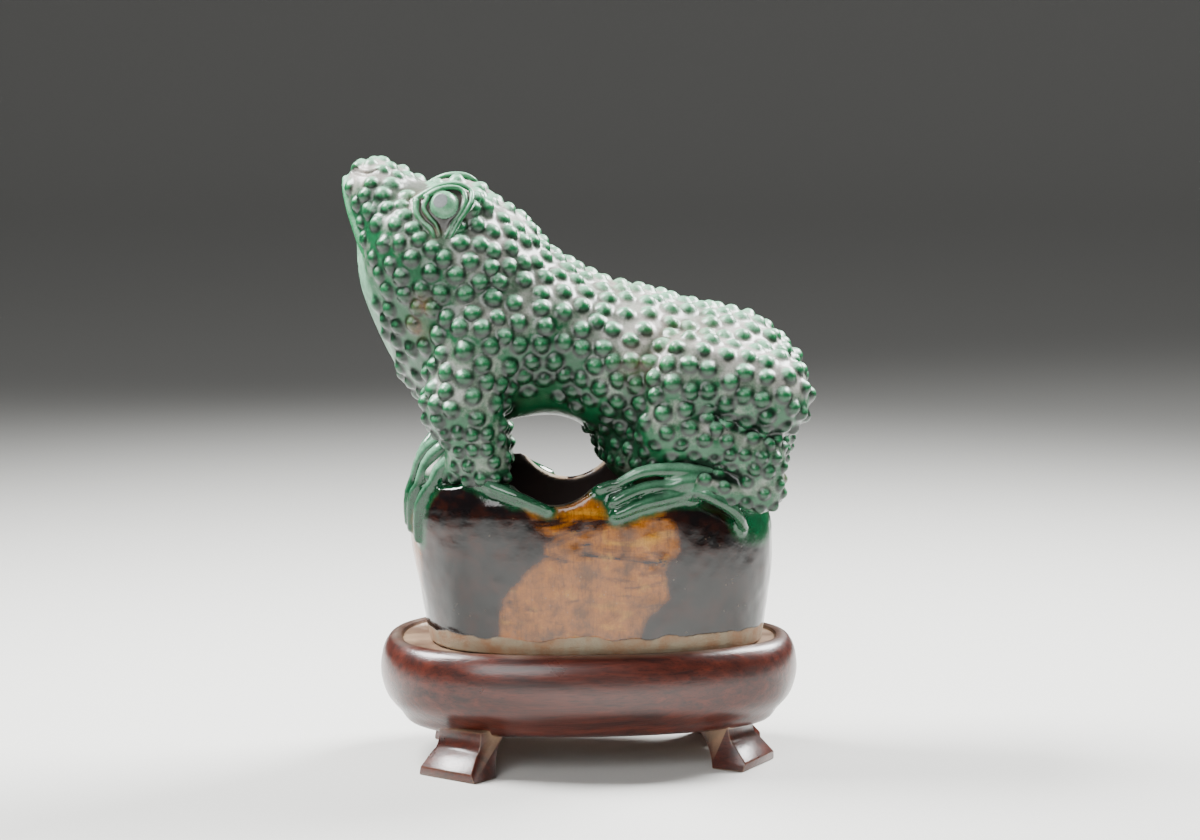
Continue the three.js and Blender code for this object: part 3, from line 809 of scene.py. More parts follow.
def sharpness(piece):
    """1 at vertices where faces meet at a convex or concave corner, 0 where the surface runs on smoothly."""
    mesh = piece.data
    spread = np.ones(len(mesh.vertices))
    normals = np.empty(len(mesh.vertices) * 3)
    mesh.vertices.foreach_get("normal", normals)
    normals = normals.reshape(-1, 3)
    for face in mesh.polygons:
        for v in face.vertices:
            spread[v] = min(spread[v], normals[v] @ face.normal)
    return ease(0.97, 0.85, spread)


class ToadSizes(bpy.types.PropertyGroup):
    """Sizes of the toad's skin."""

    mesh_step: bpy.props.FloatProperty(
        name="Skin mesh step", description="Spacing of the skin's mesh", default=0.8 * MM, unit="LENGTH", precision=5
    )


class GlazeColours(bpy.types.PropertyGroup):
    """Colours of the lead glazes and the clay, as sRGB hex values."""

    # Near-black green of pooled glaze, also laid as painted shade in creases and under the warts.
    pool: bpy.props.StringProperty(name="Pooled green", description="Green where the glaze lies thick", default="#03190d")
    emerald: bpy.props.StringProperty(name="Run green", description="Clear green of the runs", default="#085a33")
    crest: bpy.props.StringProperty(name="Wart green", description="Green on the crown of a wart", default="#1f7d49")
    # The pale shoulder green goes on up-facing faces of warts, lids, throat and toes as painted light and a painted
    # highlight, and at random on the eyeballs.
    ring: bpy.props.StringProperty(name="Wart shoulder", description="Pale green on a wart's shoulder", default="#8cc4a2")
    # Grey-white of thin glaze, laid on up-facing valleys together with painted light from above.
    thin_and_lit: bpy.props.StringProperty(name="Thin glaze", description="Grey-white of thin glaze on the body", default="#b9b5ae")
    stain: bpy.props.StringProperty(name="Iron stain", description="Brown where the glaze is worn", default="#8a6546")
    pupil: bpy.props.StringProperty(name="Pupil", description="Lilac grey flat of the pupil", default="#6f6672")
    amber: bpy.props.StringProperty(name="Amber", description="Amber glaze on the rock", default="#94550a")
    honey: bpy.props.StringProperty(name="Honey", description="The amber's lightest runs", default="#b98220")
    treacle: bpy.props.StringProperty(name="Treacle", description="Brown where amber meets aubergine", default="#2e0f05")
    aubergine: bpy.props.StringProperty(name="Aubergine", description="Near-black purple glaze", default="#070304")
    biscuit: bpy.props.StringProperty(name="Biscuit", description="Bare fired clay", default="#8f816a")
    # Near-black brown, laid as painted shade in the mouth slit, the nostrils, round the eyeballs and inside the rock's
    # hollow.
    shade_brown: bpy.props.StringProperty(name="Kiln brown", description="Dark wash inside the rock", default="#1c0f0a")


class StandColours(bpy.types.PropertyGroup):
    """Colours of the stand's lacquered wood, as sRGB hex values."""

    heart: bpy.props.StringProperty(name="Heartwood", description="Dark red-brown of the lacquered wood", default="#2b0f0b")
    figure: bpy.props.StringProperty(name="Figure", description="Lighter red streaks of the grain", default="#5a2417")
    dust: bpy.props.StringProperty(name="Dust", description="Dusty grey-brown of the seat", default="#6b5d50")
    worn: bpy.props.StringProperty(name="Worn edge", description="Pale wood on rubbed edges", default="#a08468")
    split: bpy.props.StringProperty(name="Split", description="Fresh wood in the split", default="#b08a4e")


def linear(hex_colour):
    """An sRGB hex value as linear red, green, blue and alpha."""
    parts = [int(hex_colour[i : i + 2], 16) / 255 for i in (1, 3, 5)]
    return [c / 12.92 if c <= 0.04045 else ((c + 0.055) / 1.055) ** 2.4 for c in parts] + [1]


def grey(value):
    return [value, value, value, 1]


def add_node(tree, kind, inputs=None, out=0, stops=None, **settings):
    """Adds a shader node with its settings, ramp stops, values and links, and gives back one of its outputs."""
    made = tree.nodes.new(kind)
    for key, value in settings.items():
        setattr(made, key, value)
    for socket, value in (inputs or {}).items():
        if isinstance(value, bpy.types.NodeSocket):
            tree.links.new(value, made.inputs[socket])
        else:
            made.inputs[socket].default_value = value
    if stops:
        elements = made.color_ramp.elements
        while len(elements) < len(stops):
            elements.new(1)
        for element, (at, colour) in zip(elements, stops):
            element.position = at
            element.color = colour
    return made.outputs[out] if made.outputs else made


def new_material(name):
    material = bpy.data.materials.new(name)
    material.use_nodes = True
    tree = material.node_tree
    tree.nodes.clear()
    return material, tree


MIX = "ShaderNodeMix"
MATH = "ShaderNodeMath"
NOISE = "ShaderNodeTexNoise"
RAMP = "ShaderNodeValToRGB"
COLOUR = {"data_type": "RGBA", "out": 2}


def green_glaze_material():
    """Copper-green lead glaze run over white porcelain: thin and pale where it drained, near-black in its pools, with
    painted light on faces that look up and painted shade in creases and under the warts.
    """
    colours = bpy.context.scene.toad_glaze
    material, tree = new_material("green_lead_glaze")
    place = add_node(tree, "ShaderNodeTexCoord", out="Object")
    facing = add_node(tree, "ShaderNodeNewGeometry", out="Normal")
    upward = add_node(tree, "ShaderNodeSeparateXYZ", {"Vector": facing}, out="Z")
    names = ("from_wart", "lit_side", "pooling_and_shade", "stain", "smooth", "ridge", "eyeball", "pupil", "recess_shade")
    share = {name: add_node(tree, "ShaderNodeAttribute", attribute_name=name, out="Fac") for name in names}
    # Runs of glaze are a few centimetres long, its mottling a few millimetres and its grain finer.
    runs = add_node(tree, NOISE, {"Vector": place, "Scale": 55, "Detail": 3, "Roughness": 0.6})
    mottle = add_node(tree, NOISE, {"Vector": place, "Scale": 330, "Detail": 4, "Roughness": 0.65})
    grain = add_node(tree, NOISE, {"Vector": place, "Scale": 1500, "Detail": 2, "Roughness": 0.6})
    patchy = add_node(tree, MATH, {0: runs, 1: 2.2, 2: -1.1}, operation="MULTIPLY_ADD")
    patchy = add_node(tree, MATH, {0: mottle, 1: 1.2, 2: patchy}, operation="MULTIPLY_ADD")
    # Up-facing skin, with noise, turns pale grey-white: thin glaze and painted light from above. Creases take it back
    # with their painted shade.
    drained_and_lit = add_node(tree, MATH, {0: share["lit_side"], 1: patchy}, operation="ADD")
    drained_and_lit = add_node(tree, MATH, {0: drained_and_lit, 1: 0.62}, operation="SUBTRACT")
    thin_and_lit = add_node(tree, MATH, {0: drained_and_lit, 1: share["pooling_and_shade"]}, operation="SUBTRACT", use_clamp=True)
    valley = add_node(tree, MIX, {0: thin_and_lit, 6: linear(colours.emerald), 7: linear(colours.thin_and_lit)}, **COLOUR)
    # Creases and the skin by the rock go near-black green: pooled glaze and painted shade.
    recess_shade = add_node(tree, MATH, {0: share["pooling_and_shade"], 1: 1.3, 2: -0.1}, operation="MULTIPLY_ADD", use_clamp=True)
    valley = add_node(tree, MIX, {0: recess_shade, 6: valley, 7: linear(colours.pool)}, **COLOUR)
    # On a wart the glaze drained off the upper side and gathered under the lower one. The upper side also gets painted
    # light and a painted highlight, and the lower side painted shade.
    shaken = add_node(tree, MATH, {0: mottle, 1: 0.9, 2: -0.45}, operation="MULTIPLY_ADD")
    light_from_above = add_node(tree, MATH, {0: upward, 1: shaken}, operation="ADD")
    # Lit and shaded copies of the wart's colours, picked by how far each point faces up.
    bright = add_node(
        tree, RAMP, {"Fac": light_from_above},
        stops=[(0, linear(colours.emerald)), (0.25, linear(colours.crest)), (0.75, linear(colours.ring))],
    )
    dim = add_node(
        tree, RAMP, {"Fac": light_from_above},
        stops=[(0, linear(colours.pool)), (0.3, linear(colours.emerald)), (0.9, linear(colours.crest))],
    )
    # Where painted light from above falls, together with thin glaze, the lit copy is used.
    sunny = add_node(tree, MATH, {0: drained_and_lit, 1: 0.45}, operation="ADD", use_clamp=True)
    bead = add_node(tree, MIX, {0: sunny, 6: dim, 7: bright}, **COLOUR)
    crown = add_node(tree, RAMP, {"Fac": share["from_wart"]}, stops=[(0.1, grey(0.75)), (0.24, grey(0))])
    crown = add_node(tree, MATH, {0: crown, 1: mottle}, operation="MULTIPLY")
    bead = add_node(tree, MIX, {0: crown, 6: bead, 7: linear(colours.emerald)}, **COLOUR)
    off_bead = add_node(tree, RAMP, {"Fac": share["from_wart"]}, stops=[(0.4, grey(0)), (0.56, grey(1))])
    colour = add_node(tree, MIX, {0: off_bead, 6: bead, 7: valley}, **COLOUR)
    # A dark ring at each wart's foot, darkest where the surface faces down: pooled glaze and painted shade under the
    # wart.
    foot = add_node(
        tree, RAMP, {"Fac": share["from_wart"]}, stops=[(0.3, grey(0)), (0.46, grey(1)), (0.56, grey(0.8)), (0.7, grey(0))]
    )
    under = add_node(tree, MATH, {0: light_from_above, 1: -1.4, 2: 1.1}, operation="MULTIPLY_ADD", use_clamp=True)
    foot = add_node(tree, MATH, {0: foot, 1: under}, operation="MULTIPLY", use_clamp=True)
    colour = add_node(tree, MIX, {0: foot, 6: colour, 7: linear(colours.pool)}, **COLOUR)
    # The throat, the lids and the eyes have no warts. Their green is even, and painted light makes it pale where it
    # faces up.
    plate = add_node(tree, MIX, {0: sunny, 6: linear(colours.emerald), 7: linear(colours.ring)}, **COLOUR)
    colour = add_node(tree, MIX, {0: share["smooth"], 6: colour, 7: plate}, **COLOUR)
    worn = add_node(tree, MATH, {0: mottle, 1: 1.5, 2: -0.35}, operation="MULTIPLY_ADD", use_clamp=True)
    worn = add_node(tree, MATH, {0: share["stain"], 1: worn}, operation="MULTIPLY", use_clamp=True)
    colour = add_node(tree, MIX, {0: worn, 6: colour, 7: linear(colours.stain)}, **COLOUR)
    # Lids are pale on their upper side with painted light from above.
    lid_lit_from_above = add_node(tree, MIX, {0: light_from_above, 6: linear(colours.crest), 7: linear(colours.ring)}, clamp_factor=True, **COLOUR)
    colour = add_node(tree, MIX, {0: share["ridge"], 6: colour, 7: lid_lit_from_above}, **COLOUR)
    ball = add_node(tree, MIX, {0: mottle, 6: linear(colours.crest), 7: linear(colours.ring)}, **COLOUR)
    colour = add_node(tree, MIX, {0: share["eyeball"], 6: colour, 7: ball}, **COLOUR)
    # Painted shade, near-black, in the mouth slit, the nostril pits and round each eyeball.
    colour = add_node(tree, MIX, {0: share["recess_shade"], 6: colour, 7: linear(colours.shade_brown)}, **COLOUR)
    colour = add_node(tree, MIX, {0: share["pupil"], 6: colour, 7: linear(colours.pupil)}, **COLOUR)
    speckle = add_node(tree, RAMP, {"Fac": grain}, stops=[(0.3, grey(0.72)), (0.7, grey(1))])
    colour = add_node(tree, MIX, {0: 1, 6: colour, 7: speckle}, blend_type="MULTIPLY", **COLOUR)
    bump = add_node(tree, "ShaderNodeBump", {"Height": mottle, "Strength": 0.3, "Distance": 0.0005})
    gloss = add_node(tree, "ShaderNodeMapRange", {"Value": mottle, "To Min": 0.2, "To Max": 0.5})
    surface = add_node(
        tree, "ShaderNodeBsdfPrincipled",
        {"Base Color": colour, "Roughness": gloss, "Normal": bump, "IOR": 1.55, "Coat Weight": 0.12,
         "Coat Roughness": 0.15},
    )
    add_node(tree, "ShaderNodeOutputMaterial", {"Surface": surface})
    return material


def three_colour_glaze_material():
    """Amber, aubergine and green lead glazes run into each other on porcelain, bare at the foot."""
    colours = bpy.context.scene.toad_glaze
    material, tree = new_material("three_colour_lead_glaze")
    place = add_node(tree, "ShaderNodeTexCoord", out="Object")
    names = ("amber", "green", "bare", "inside", "crest", "worn")
    share = {name: add_node(tree, "ShaderNodeAttribute", attribute_name=name, out="Fac") for name in names}
    runs = add_node(tree, NOISE, {"Vector": place, "Scale": 70, "Detail": 5, "Roughness": 0.6})
    cloud = add_node(tree, NOISE, {"Vector": place, "Scale": 160, "Detail": 4, "Roughness": 0.6})
    grain = add_node(tree, NOISE, {"Vector": place, "Scale": 1400, "Detail": 3, "Roughness": 0.7})
    # The glaze ran down in the kiln, so its fine streaks stand upright, about half a millimetre apart.
    drawn = add_node(tree, "ShaderNodeMapping", {"Vector": place, "Scale": (1500, 1500, 170)})
    streak = add_node(tree, NOISE, {"Vector": drawn, "Scale": 1, "Detail": 3, "Roughness": 0.6})
    level = add_node(tree, "ShaderNodeMapping", {"Vector": place, "Scale": (38, 38, 150)})
    wave = add_node(tree, NOISE, {"Vector": level, "Scale": 1, "Detail": 4, "Roughness": 0.55, "Distortion": 0.8})
    amber = add_node(
        tree, RAMP, {"Fac": wave},
        stops=[(0.36, linear(colours.treacle)), (0.47, linear(colours.amber)), (0.6, linear(colours.amber)),
               (0.75, linear(colours.honey))],
    )
    fine = add_node(tree, RAMP, {"Fac": streak}, stops=[(0.36, grey(0.4)), (0.5, grey(1))])
    amber = add_node(tree, MIX, {0: 0.45, 6: amber, 7: fine}, blend_type="MULTIPLY", **COLOUR)
    smoke = add_node(tree, RAMP, {"Fac": cloud}, stops=[(0.34, grey(0.25)), (0.56, grey(1))])
    amber = add_node(tree, MIX, {0: 0.8, 6: amber, 7: smoke}, blend_type="MULTIPLY", **COLOUR)
    olive = add_node(tree, RAMP, {"Fac": cloud}, stops=[(0.6, grey(0)), (0.72, grey(0.5))])
    amber = add_node(tree, MIX, {0: olive, 6: amber, 7: linear(colours.honey)}, **COLOUR)
    night = add_node(
        tree, RAMP, {"Fac": cloud},
        stops=[(0.45, linear(colours.aubergine)), (0.72, linear(colours.treacle))],
    )
    swayed = add_node(tree, MATH, {0: runs, 1: 0.5, 2: -0.25}, operation="MULTIPLY_ADD")
    edge = add_node(tree, MATH, {0: share["amber"], 1: swayed}, operation="ADD")
    border = add_node(tree, RAMP, {"Fac": edge}, stops=[(0.4, grey(0)), (0.52, grey(1))])
    inner = add_node(tree, RAMP, {"Fac": edge}, stops=[(0.46, grey(0)), (0.62, grey(1))])
    amber = add_node(tree, MIX, {0: inner, 6: linear(colours.treacle), 7: amber}, **COLOUR)
    colour = add_node(tree, MIX, {0: border, 6: night, 7: amber}, **COLOUR)
    # Pinholes in the dark glaze, half a millimetre wide.
    pin = add_node(tree, "ShaderNodeTexVoronoi", {"Vector": place, "Scale": 420, "Randomness": 1}, out="Distance")
    sown = add_node(tree, RAMP, {"Fac": runs}, stops=[(0.5, grey(0)), (0.6, grey(1))])
    pin = add_node(tree, RAMP, {"Fac": pin}, stops=[(0.05, grey(1)), (0.16, grey(0))])
    pin = add_node(tree, MATH, {0: pin, 1: sown}, operation="MULTIPLY")
    pin = add_node(tree, MATH, {0: pin, 1: 0.35}, operation="MULTIPLY")
    colour = add_node(tree, MIX, {0: pin, 6: colour, 7: linear(colours.biscuit)}, **COLOUR)
    moss = add_node(tree, MIX, {0: cloud, 6: linear(colours.pool), 7: linear(colours.emerald)}, **COLOUR)
    # Tops of the toes and hands on the rock take a pale painted highlight.
    ridge = add_node(tree, MATH, {0: share["crest"], 1: cloud}, operation="MULTIPLY", use_clamp=True)
    moss = add_node(tree, MIX, {0: ridge, 6: moss, 7: linear(colours.ring)}, **COLOUR)
    green_edge = add_node(tree, MATH, {0: share["green"], 1: swayed}, operation="ADD")
    green_border = add_node(tree, RAMP, {"Fac": green_edge}, stops=[(0.42, grey(0)), (0.56, grey(1))])
    colour = add_node(tree, MIX, {0: green_border, 6: colour, 7: moss}, **COLOUR)
    speckle = add_node(tree, RAMP, {"Fac": grain}, stops=[(0.35, grey(0.75)), (0.6, grey(1))])
    colour = add_node(tree, MIX, {0: 1, 6: colour, 7: speckle}, blend_type="MULTIPLY", **COLOUR)
    # Inside the hollow the glaze turns near-black brown: painted shade.
    hollow_shade = add_node(tree, MIX, {0: cloud, 6: linear(colours.shade_brown), 7: linear(colours.treacle)}, **COLOUR)
    colour = add_node(tree, MIX, {0: share["inside"], 6: colour, 7: hollow_shade}, **COLOUR)
    clay = add_node(
        tree, RAMP, {"Fac": cloud}, stops=[(0.35, linear(colours.stain)), (0.6, linear(colours.biscuit))]
    )
    bare_edge = add_node(tree, MATH, {0: share["bare"], 1: swayed}, operation="ADD")
    bare = add_node(tree, RAMP, {"Fac": bare_edge}, stops=[(0.46, grey(0)), (0.54, grey(1))])
    bare = add_node(tree, MATH, {0: bare, 1: share["worn"]}, operation="MAXIMUM")
    colour = add_node(tree, MIX, {0: bare, 6: colour, 7: clay}, **COLOUR)
    rough_clay = add_node(tree, MATH, {0: bare, 1: share["inside"]}, operation="MAXIMUM")
    gloss = add_node(tree, "ShaderNodeMapRange", {"Value": grain, "To Min": 0.06, "To Max": 0.2})
    gloss = add_node(tree, MIX, {0: rough_clay, 2: gloss, 3: 0.75}, out=0, data_type="FLOAT")
    bump = add_node(tree, "ShaderNodeBump", {"Height": cloud, "Strength": 0.25, "Distance": 0.0006})
    gritty = add_node(tree, MATH, {0: grain, 1: bare}, operation="MULTIPLY")
    bump = add_node(tree, "ShaderNodeBump", {"Height": gritty, "Strength": 0.6, "Distance": 0.0004, "Normal": bump})
    surface = add_node(
        tree, "ShaderNodeBsdfPrincipled", {"Base Color": colour, "Roughness": gloss, "Normal": bump, "IOR": 1.62}
    )
    add_node(tree, "ShaderNodeOutputMaterial", {"Surface": surface})
    return material


def rosewood_material():
    """Lacquered rosewood: near-black red wood with fine long grain under a worn satin film, dusty on top."""
    colours = bpy.context.scene.toad_stand
    material, tree = new_material("lacquered_rosewood")
    place = add_node(tree, "ShaderNodeTexCoord", out="Object")
    facing = add_node(tree, "ShaderNodeNewGeometry", out="Normal")
    names = ("edge", "split")
    share = {name: add_node(tree, "ShaderNodeAttribute", attribute_name=name, out="Fac") for name in names}
    # Grain lines run along the stand, about 1.5 mm apart, with pores 0.3 mm wide and a few millimetres long.
    along = add_node(tree, "ShaderNodeMapping", {"Vector": place, "Scale": (28, 420, 420)})
    grain = add_node(tree, NOISE, {"Vector": along, "Scale": 1, "Detail": 5, "Roughness": 0.65, "Distortion": 0.4})
    fine = add_node(tree, "ShaderNodeMapping", {"Vector": place, "Scale": (160, 2600, 2600)})
    pores = add_node(tree, NOISE, {"Vector": fine, "Scale": 1, "Detail": 2})
    blotch = add_node(tree, NOISE, {"Vector": place, "Scale": 60, "Detail": 4, "Roughness": 0.6})
    colour = add_node(
        tree, RAMP, {"Fac": grain}, stops=[(0.35, linear(colours.heart)), (0.72, linear(colours.figure))]
    )
    pore = add_node(tree, RAMP, {"Fac": pores}, stops=[(0.32, grey(0.35)), (0.45, grey(1))])
    colour = add_node(tree, MIX, {0: 0.8, 6: colour, 7: pore}, blend_type="MULTIPLY", **COLOUR)
    up = add_node(tree, "ShaderNodeSeparateXYZ", {"Vector": facing}, out="Z")
    up = add_node(tree, RAMP, {"Fac": up}, stops=[(0.75, grey(0)), (0.97, grey(1))])
    dusty = add_node(tree, MATH, {0: blotch, 1: 2.2, 2: -0.6}, operation="MULTIPLY_ADD", use_clamp=True)
    dust = add_node(tree, MATH, {0: dusty, 1: up}, operation="MULTIPLY")
    dust = add_node(tree, MATH, {0: dust, 1: 0.75}, operation="MULTIPLY")
    colour = add_node(tree, MIX, {0: dust, 6: colour, 7: linear(colours.dust)}, **COLOUR)
    rubbed = add_node(tree, MATH, {0: dusty, 1: share["edge"]}, operation="MULTIPLY", use_clamp=True)
    colour = add_node(tree, MIX, {0: rubbed, 6: colour, 7: linear(colours.worn)}, **COLOUR)
    colour = add_node(tree, MIX, {0: share["split"], 6: colour, 7: linear(colours.split)}, **COLOUR)
    gloss = add_node(tree, "ShaderNodeMapRange", {"Value": blotch, "To Min": 0.2, "To Max": 0.42})
    gloss = add_node(tree, MATH, {0: dust, 1: 0.5, 2: gloss}, operation="MULTIPLY_ADD", use_clamp=True)
    bump = add_node(tree, "ShaderNodeBump", {"Height": pores, "Strength": 0.25, "Distance": 0.0002})
    bump = add_node(tree, "ShaderNodeBump", {"Height": grain, "Strength": 0.2, "Distance": 0.0006, "Normal": bump})
    surface = add_node(
        tree, "ShaderNodeBsdfPrincipled",
        {"Base Color": colour, "Roughness": gloss, "Normal": bump, "IOR": 1.5, "Coat Weight": 0.35,
         "Coat Roughness": 0.2},
    )
    add_node(tree, "ShaderNodeOutputMaterial", {"Surface": surface})
    return material


def paper_material():
    """Matt seamless paper, which gives the eye nothing but soft light."""
    material, tree = new_material("seamless_paper")
    place = add_node(tree, "ShaderNodeTexCoord", out="Object")
    grain = add_node(tree, NOISE, {"Vector": place, "Scale": 900, "Detail": 2})
    tone = add_node(tree, MIX, {0: grain, 6: linear("#cfcfcb"), 7: linear("#d8d8d4")}, **COLOUR)
    surface = add_node(tree, "ShaderNodeBsdfPrincipled", {"Base Color": tone, "Roughness": 0.9})
    add_node(tree, "ShaderNodeOutputMaterial", {"Surface": surface})
    return material


def closed_skin(distance, low, high, step):
    """An evenly spread mesh on a distance function, with its normals."""
    points, quads = outermost(*net_of(distance, low, high, step))
    for _ in range(3):
        points = 0.5 * points + 0.5 * neighbour_mean(points, quads)
        points = onto(distance, points, 1)
    points = onto(distance, points, 1)
    return points, quads, gradient(distance, points)


def patch_reach(points, patch):
    """How far out in a patch of finer skin each point lies, from 0 to 1 at its border."""
    centre, reach, step = patch
    return np.linalg.norm(near_side(points) - centre, axis=1) / reach


def fine_patch(name, patch, warts):
    """A piece of finer skin with the head's small forms, which dips under the coarse skin at its border."""
    centre, reach, step = patch

    def patch_distance(p):
        shell = np.maximum(head_distance(p), -PATCH_DEPTH - skin_distance(p))
        return np.maximum(shell, np.linalg.norm(p - centre, axis=1) - reach)

    low = np.subtract(centre, reach + 1)
    high = np.add(centre, reach + 1)
    points, quads = outermost(*net_of(patch_distance, low, high, step))
    for _ in range(2):
        points = 0.6 * points + 0.4 * neighbour_mean(points, quads)
        points = onto(patch_distance, points, 1)
    bare = skin_distance(points)
    normals = gradient(skin_distance, points)
    base = points - normals * bare[:, None]
    raised, t = warts.raise_skin(base, normals)
    outer = ease(-1.2, -0.4, bare)
    plain = outer * ease(0.5, 0.15, np.abs(bare))
    sink = 0.9 * ease(0.74, 1, patch_reach(points, patch))
    shaped = points + raised * plain[:, None] - normals * sink[:, None]
    shaped += normals * (0.25 * outer * rough(base, 9, 1))[:, None]
    piece = mesh_object(name, shaped, quads)
    t = np.where(np.abs(bare) > 0.3, 1.6, t)
    skin_attributes(piece, base, normals, t)
    on_eye = ellipsoid_distance(near_side(points), EYEBALL) < 0.25
    set_attribute(piece, "ridge", ease(0.15, 0.7, bare) * ~on_eye)
    set_attribute(piece, "eyeball", on_eye.astype(float))
    set_attribute(piece, "pupil", on_eye * ease(-0.15, 0.05, pupil_distance(points)))
    # Painted shade: near-black in the mouth slit and nostril pits where the patch dips under the skin, and in a ring
    # round each eyeball.
    beside_eye = ease(9.5, 7.5, np.linalg.norm(near_side(base) - EYEBALL[0], axis=1))
    eye_rim_shade = 0.85 * beside_eye * ease(0.45, 0.1, bare) * ~on_eye
    set_attribute(piece, "recess_shade", np.maximum(ease(-0.15, -0.9, bare), eye_rim_shade) * outer)
    return piece


class TOAD_OT_skin(bpy.types.Operator):
    """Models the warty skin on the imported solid's warts, with finer skin at the eyes and the mouth"""

    bl_idname = "toad.skin"
    bl_label = "Warty skin"

    def execute(self, context):
        step = context.scene.toad_sizes.mesh_step / MM
        points, quads, normals = closed_skin(skin_distance, (-84, -50, 80), (74, 50, 200), step)
        warts = Warts(points, normals)
        raised, t = warts.raise_skin(points, normals)
        shaped = points + raised + normals * (0.25 * rough(points, 9, 1))[:, None]
        shaped = 0.8 * shaped + 0.2 * neighbour_mean(shaped, quads)
        for patch in (EYE_PATCH, MOUTH_PATCH):
            sink = 2.2 * ease(0.84, 0.62, patch_reach(points, patch))
            shaped -= normals * sink[:, None]
        skin = mesh_object("toad_skin", shaped, quads)
        skin_attributes(skin, points, normals, t)
        near_eye = fine_patch("toad_near_eye", EYE_PATCH, warts)
        far_eye = mirrored_piece(near_eye, "toad_far_eye")
        mouth = fine_patch("toad_mouth", MOUTH_PATCH, warts)
        material = green_glaze_material()
        for piece in (skin, near_eye, far_eye, mouth):
            piece.data.materials.append(material)
            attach(piece, BODY)
            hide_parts("porcelain_toad")
        return {"FINISHED"}


# The amber patch on the near wall, as an outline in X and Z, and the amber on the rock's front.
AMBER = (
    (-23, 88), (-14.6, 78), (-15, 72), (-19.4, 66.7), (-29, 57), (-27.7, 40), (16, 40), (19.8, 51.7), (25.2, 57.6),
    (24.3, 66), (26.8, 71.6), (29, 81), (22, 90), (8, 96), (-12, 96),
)
GLAZE_FOOT = 44.5


def rock_attributes(piece, p, normals):
    """Where each glaze lies on the rock. A share of 0.5 is a glaze's border, and 16 mm inside it is 1.5."""
    x, y, z = p.T
    turned = np.where(y > 0, 6 - 1.1 * x, x)
    amber = -outline_distance(turned + 2 * rough(p, 9, 6), z, AMBER)
    amber = np.where(np.abs(normals[:, 1]) > 0.3, amber, -9)
    front = (-53.5 - x) + 3 * rough(p, 12, 7)
    front = np.minimum(front, 17 - np.abs(y + 3))
    amber = np.maximum(amber, front)
    feet = toe_distance(p)
    start, end, radii, softness = HAND
    hand = limb_distance(near_side(p), start, end, radii)
    near_feet = np.minimum(feet, hand - 1)
    corner = np.hypot(x - 57, z - 82) - 8
    green = 2.2 - np.minimum(near_feet, corner)
    unwarped_x, unwarped_y, unwarped_z = unwarped(p)
    inset = oval_inset(unwarped_x, unwarped_y, ROCK)
    raised = rock_distance(p)
    inside = ease(4.6, 6, inset) * ease(0.8, 0.2, raised)
    rim = 0.7 * ease(94, 94.6, unwarped_z) * ease(1, 2.5, near_feet)
    bite = np.zeros(len(p))
    for side, at, bottom in BITES:
        ring = np.abs(np.hypot(x - at, z - bottom - BITE_RADIUS) - BITE_RADIUS)
        strength = 1 if side > 0 else 0.35
        bite = np.maximum(bite, strength * ease(1, 0.4, ring) * ease(5, 12, side * y) * ease(1, 2.2, near_feet))
    set_attribute(piece, "amber", 0.5 + amber / 16)
    set_attribute(piece, "green", 0.5 + green / 16)
    set_attribute(piece, "bare", 0.5 + (GLAZE_FOOT + 0.8 * rough(p, 6, 9) - z) / 8)
    set_attribute(piece, "inside", inside)
    # crest: raised toes and hands where they face up, for a painted highlight.
    set_attribute(piece, "crest", ease(0.8, 4, raised) * ease(-0.2, 0.7, normals[:, 2] - 0.3 * normals[:, 0]))
    set_attribute(piece, "worn", np.maximum(rim, bite) * ease(0.25, 0.6, 0.5 + 0.5 * rough(p, 3, 10)))


class TOAD_OT_rock(bpy.types.Operator):
    """Models the hollow rock with the toes on it"""

    bl_idname = "toad.rock"
    bl_label = "Rock and toes"

    def execute(self, context):
        step = context.scene.toad_sizes.mesh_step / MM
        low = (-64, -44, SEAT - 1.2)
        points, quads, normals = closed_skin(footed_rock_distance, low, (64, 44, 110), step)
        uneven = 0.3 * rough(points, 11, 2) + 0.1 * rough(points, 3.5, 4)
        shaped = points + normals * (uneven - 0.15)[:, None]
        shaped[:, 2] = np.maximum(shaped[:, 2], SEAT)
        rock = mesh_object("glazed_rock", shaped, quads)
        rock_attributes(rock, points, normals)
        rock.data.materials.append(three_colour_glaze_material())
        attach(rock, BODY)
        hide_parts("porcelain_toad")
        return {"FINISHED"}


class TOAD_OT_stand(bpy.types.Operator):
    """Turns the stand's moulded block and carves its feet"""

    bl_idname = "toad.stand"
    bl_label = "Wooden stand"

    def execute(self, context):
        block = turned_block()
        for at, facing in FEET:
            apply_union(block, carved_foot(at, facing))
        block.name = block.data.name = "carved_stand"
        alone(block)
        bpy.ops.object.shade_smooth_by_angle(angle=math.radians(35))
        set_attribute(block, "edge", sharpness(block))
        set_attribute(block, "split", np.zeros(len(block.data.vertices)))
        block.data.materials.append(rosewood_material())
        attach(block, BODY)
        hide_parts("wooden_stand")
        return {"FINISHED"}


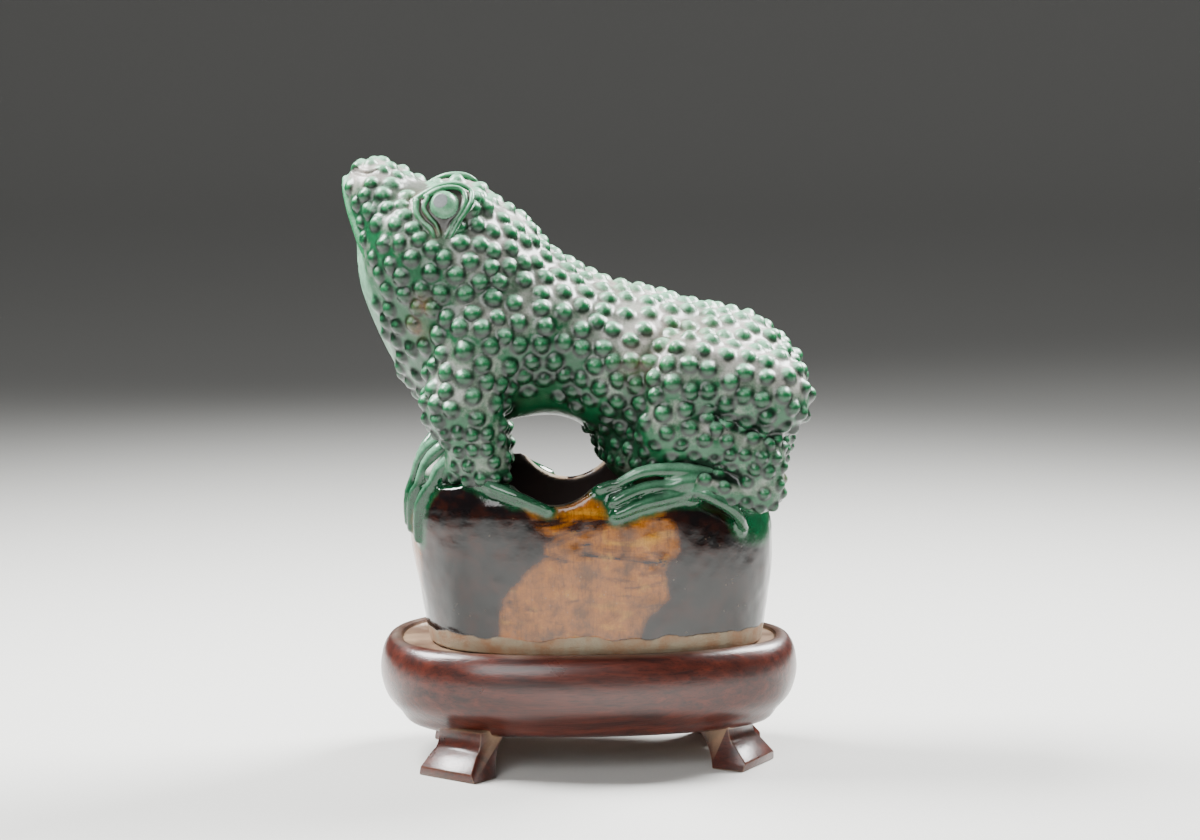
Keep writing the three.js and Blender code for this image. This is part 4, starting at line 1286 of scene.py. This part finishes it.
class TOAD_OT_stage(bpy.types.Operator):
    """Sets up the floor, the lights and the camera"""

    bl_idname = "toad.stage"
    bl_label = "Studio"

    def execute(self, context):
        bpy.ops.object.select_all(action="DESELECT")
        bpy.ops.mesh.primitive_grid_add(x_subdivisions=4, y_subdivisions=60, size=1, location=(0, 0, 0))
        floor = context.active_object
        floor.name = "paper_sweep"
        for vertex in floor.data.vertices:
            x, y = vertex.co.x * 8, vertex.co.y * 8 + 1
            back = max(0, y - 2)
            vertex.co = (x, y, back**2 * 0.35 if back > 0 else 0)
        floor.data.shade_smooth()
        floor.data.materials.append(paper_material())
        world = bpy.data.worlds.new("studio_air")
        world.use_nodes = True
        world.node_tree.nodes["Background"].inputs["Color"].default_value = grey(0.8)
        world.node_tree.nodes["Background"].inputs["Strength"].default_value = 0.12
        context.scene.world = world
        for name, place, size, power in (
            ("softbox_left", (-0.55, 0.12, 0.75), 0.4, 9),
            ("softbox_right", (0.55, 0.4, 0.7), 0.45, 10),
            ("fill_front", (-0.35, -1.1, 0.75), 0.8, 3.5),
        ):
            light = bpy.data.lights.new(name, "AREA")
            light.size = size
            light.energy = power
            light.spread = math.radians(95)
            lamp = bpy.data.objects.new(name, light)
            lamp.location = place
            lamp.rotation_mode = "QUATERNION"
            lamp.rotation_quaternion = (Vector((0, 0, 0.11)) - Vector(place)).to_track_quat("-Z", "Y")
            context.scene.collection.objects.link(lamp)
        camera = bpy.data.cameras.new("camera")
        camera.sensor_width = 36
        camera.lens = 120.9
        eye = bpy.data.objects.new("camera", camera)
        aim = Vector((np.array((3.6, 0, 109.6)) + MIDDLE) * MM)
        angle = math.radians(8)
        back = Vector((0, -math.cos(angle), math.sin(angle)))
        eye.location = aim + back * 1.3
        eye.rotation_mode = "QUATERNION"
        eye.rotation_quaternion = (-back).to_track_quat("-Z", "Y")
        context.scene.collection.objects.link(eye)
        context.scene.camera = eye
        return {"FINISHED"}


class TOAD_PT_panel(bpy.types.Panel):
    """Lists the pieces in the 3D view's sidebar"""

    bl_label = "Porcelain toad"
    bl_idname = "TOAD_PT_panel"
    bl_space_type = "VIEW_3D"
    bl_region_type = "UI"
    bl_category = "Toad"

    def draw(self, context):
        for operator in PIECES:
            self.layout.operator(operator.bl_idname)


GROUPS = {"toad_sizes": ToadSizes, "toad_glaze": GlazeColours, "toad_stand": StandColours}
PIECES = (TOAD_OT_skin, TOAD_OT_rock, TOAD_OT_stand, TOAD_OT_stage)


def register():
    for kind in (*GROUPS.values(), *PIECES, TOAD_PT_panel):
        bpy.utils.register_class(kind)
    for name, group in GROUPS.items():
        setattr(bpy.types.Scene, name, bpy.props.PointerProperty(type=group))


def unregister():
    for name in GROUPS:
        delattr(bpy.types.Scene, name)
    for kind in (TOAD_PT_panel, *reversed(PIECES), *GROUPS.values()):
        bpy.utils.unregister_class(kind)


def main():
    register()
    bpy.ops.toad.skin()
    bpy.ops.toad.rock()
    bpy.ops.toad.stand()
    bpy.ops.toad.stage()


if __name__ == "__main__":
    main()
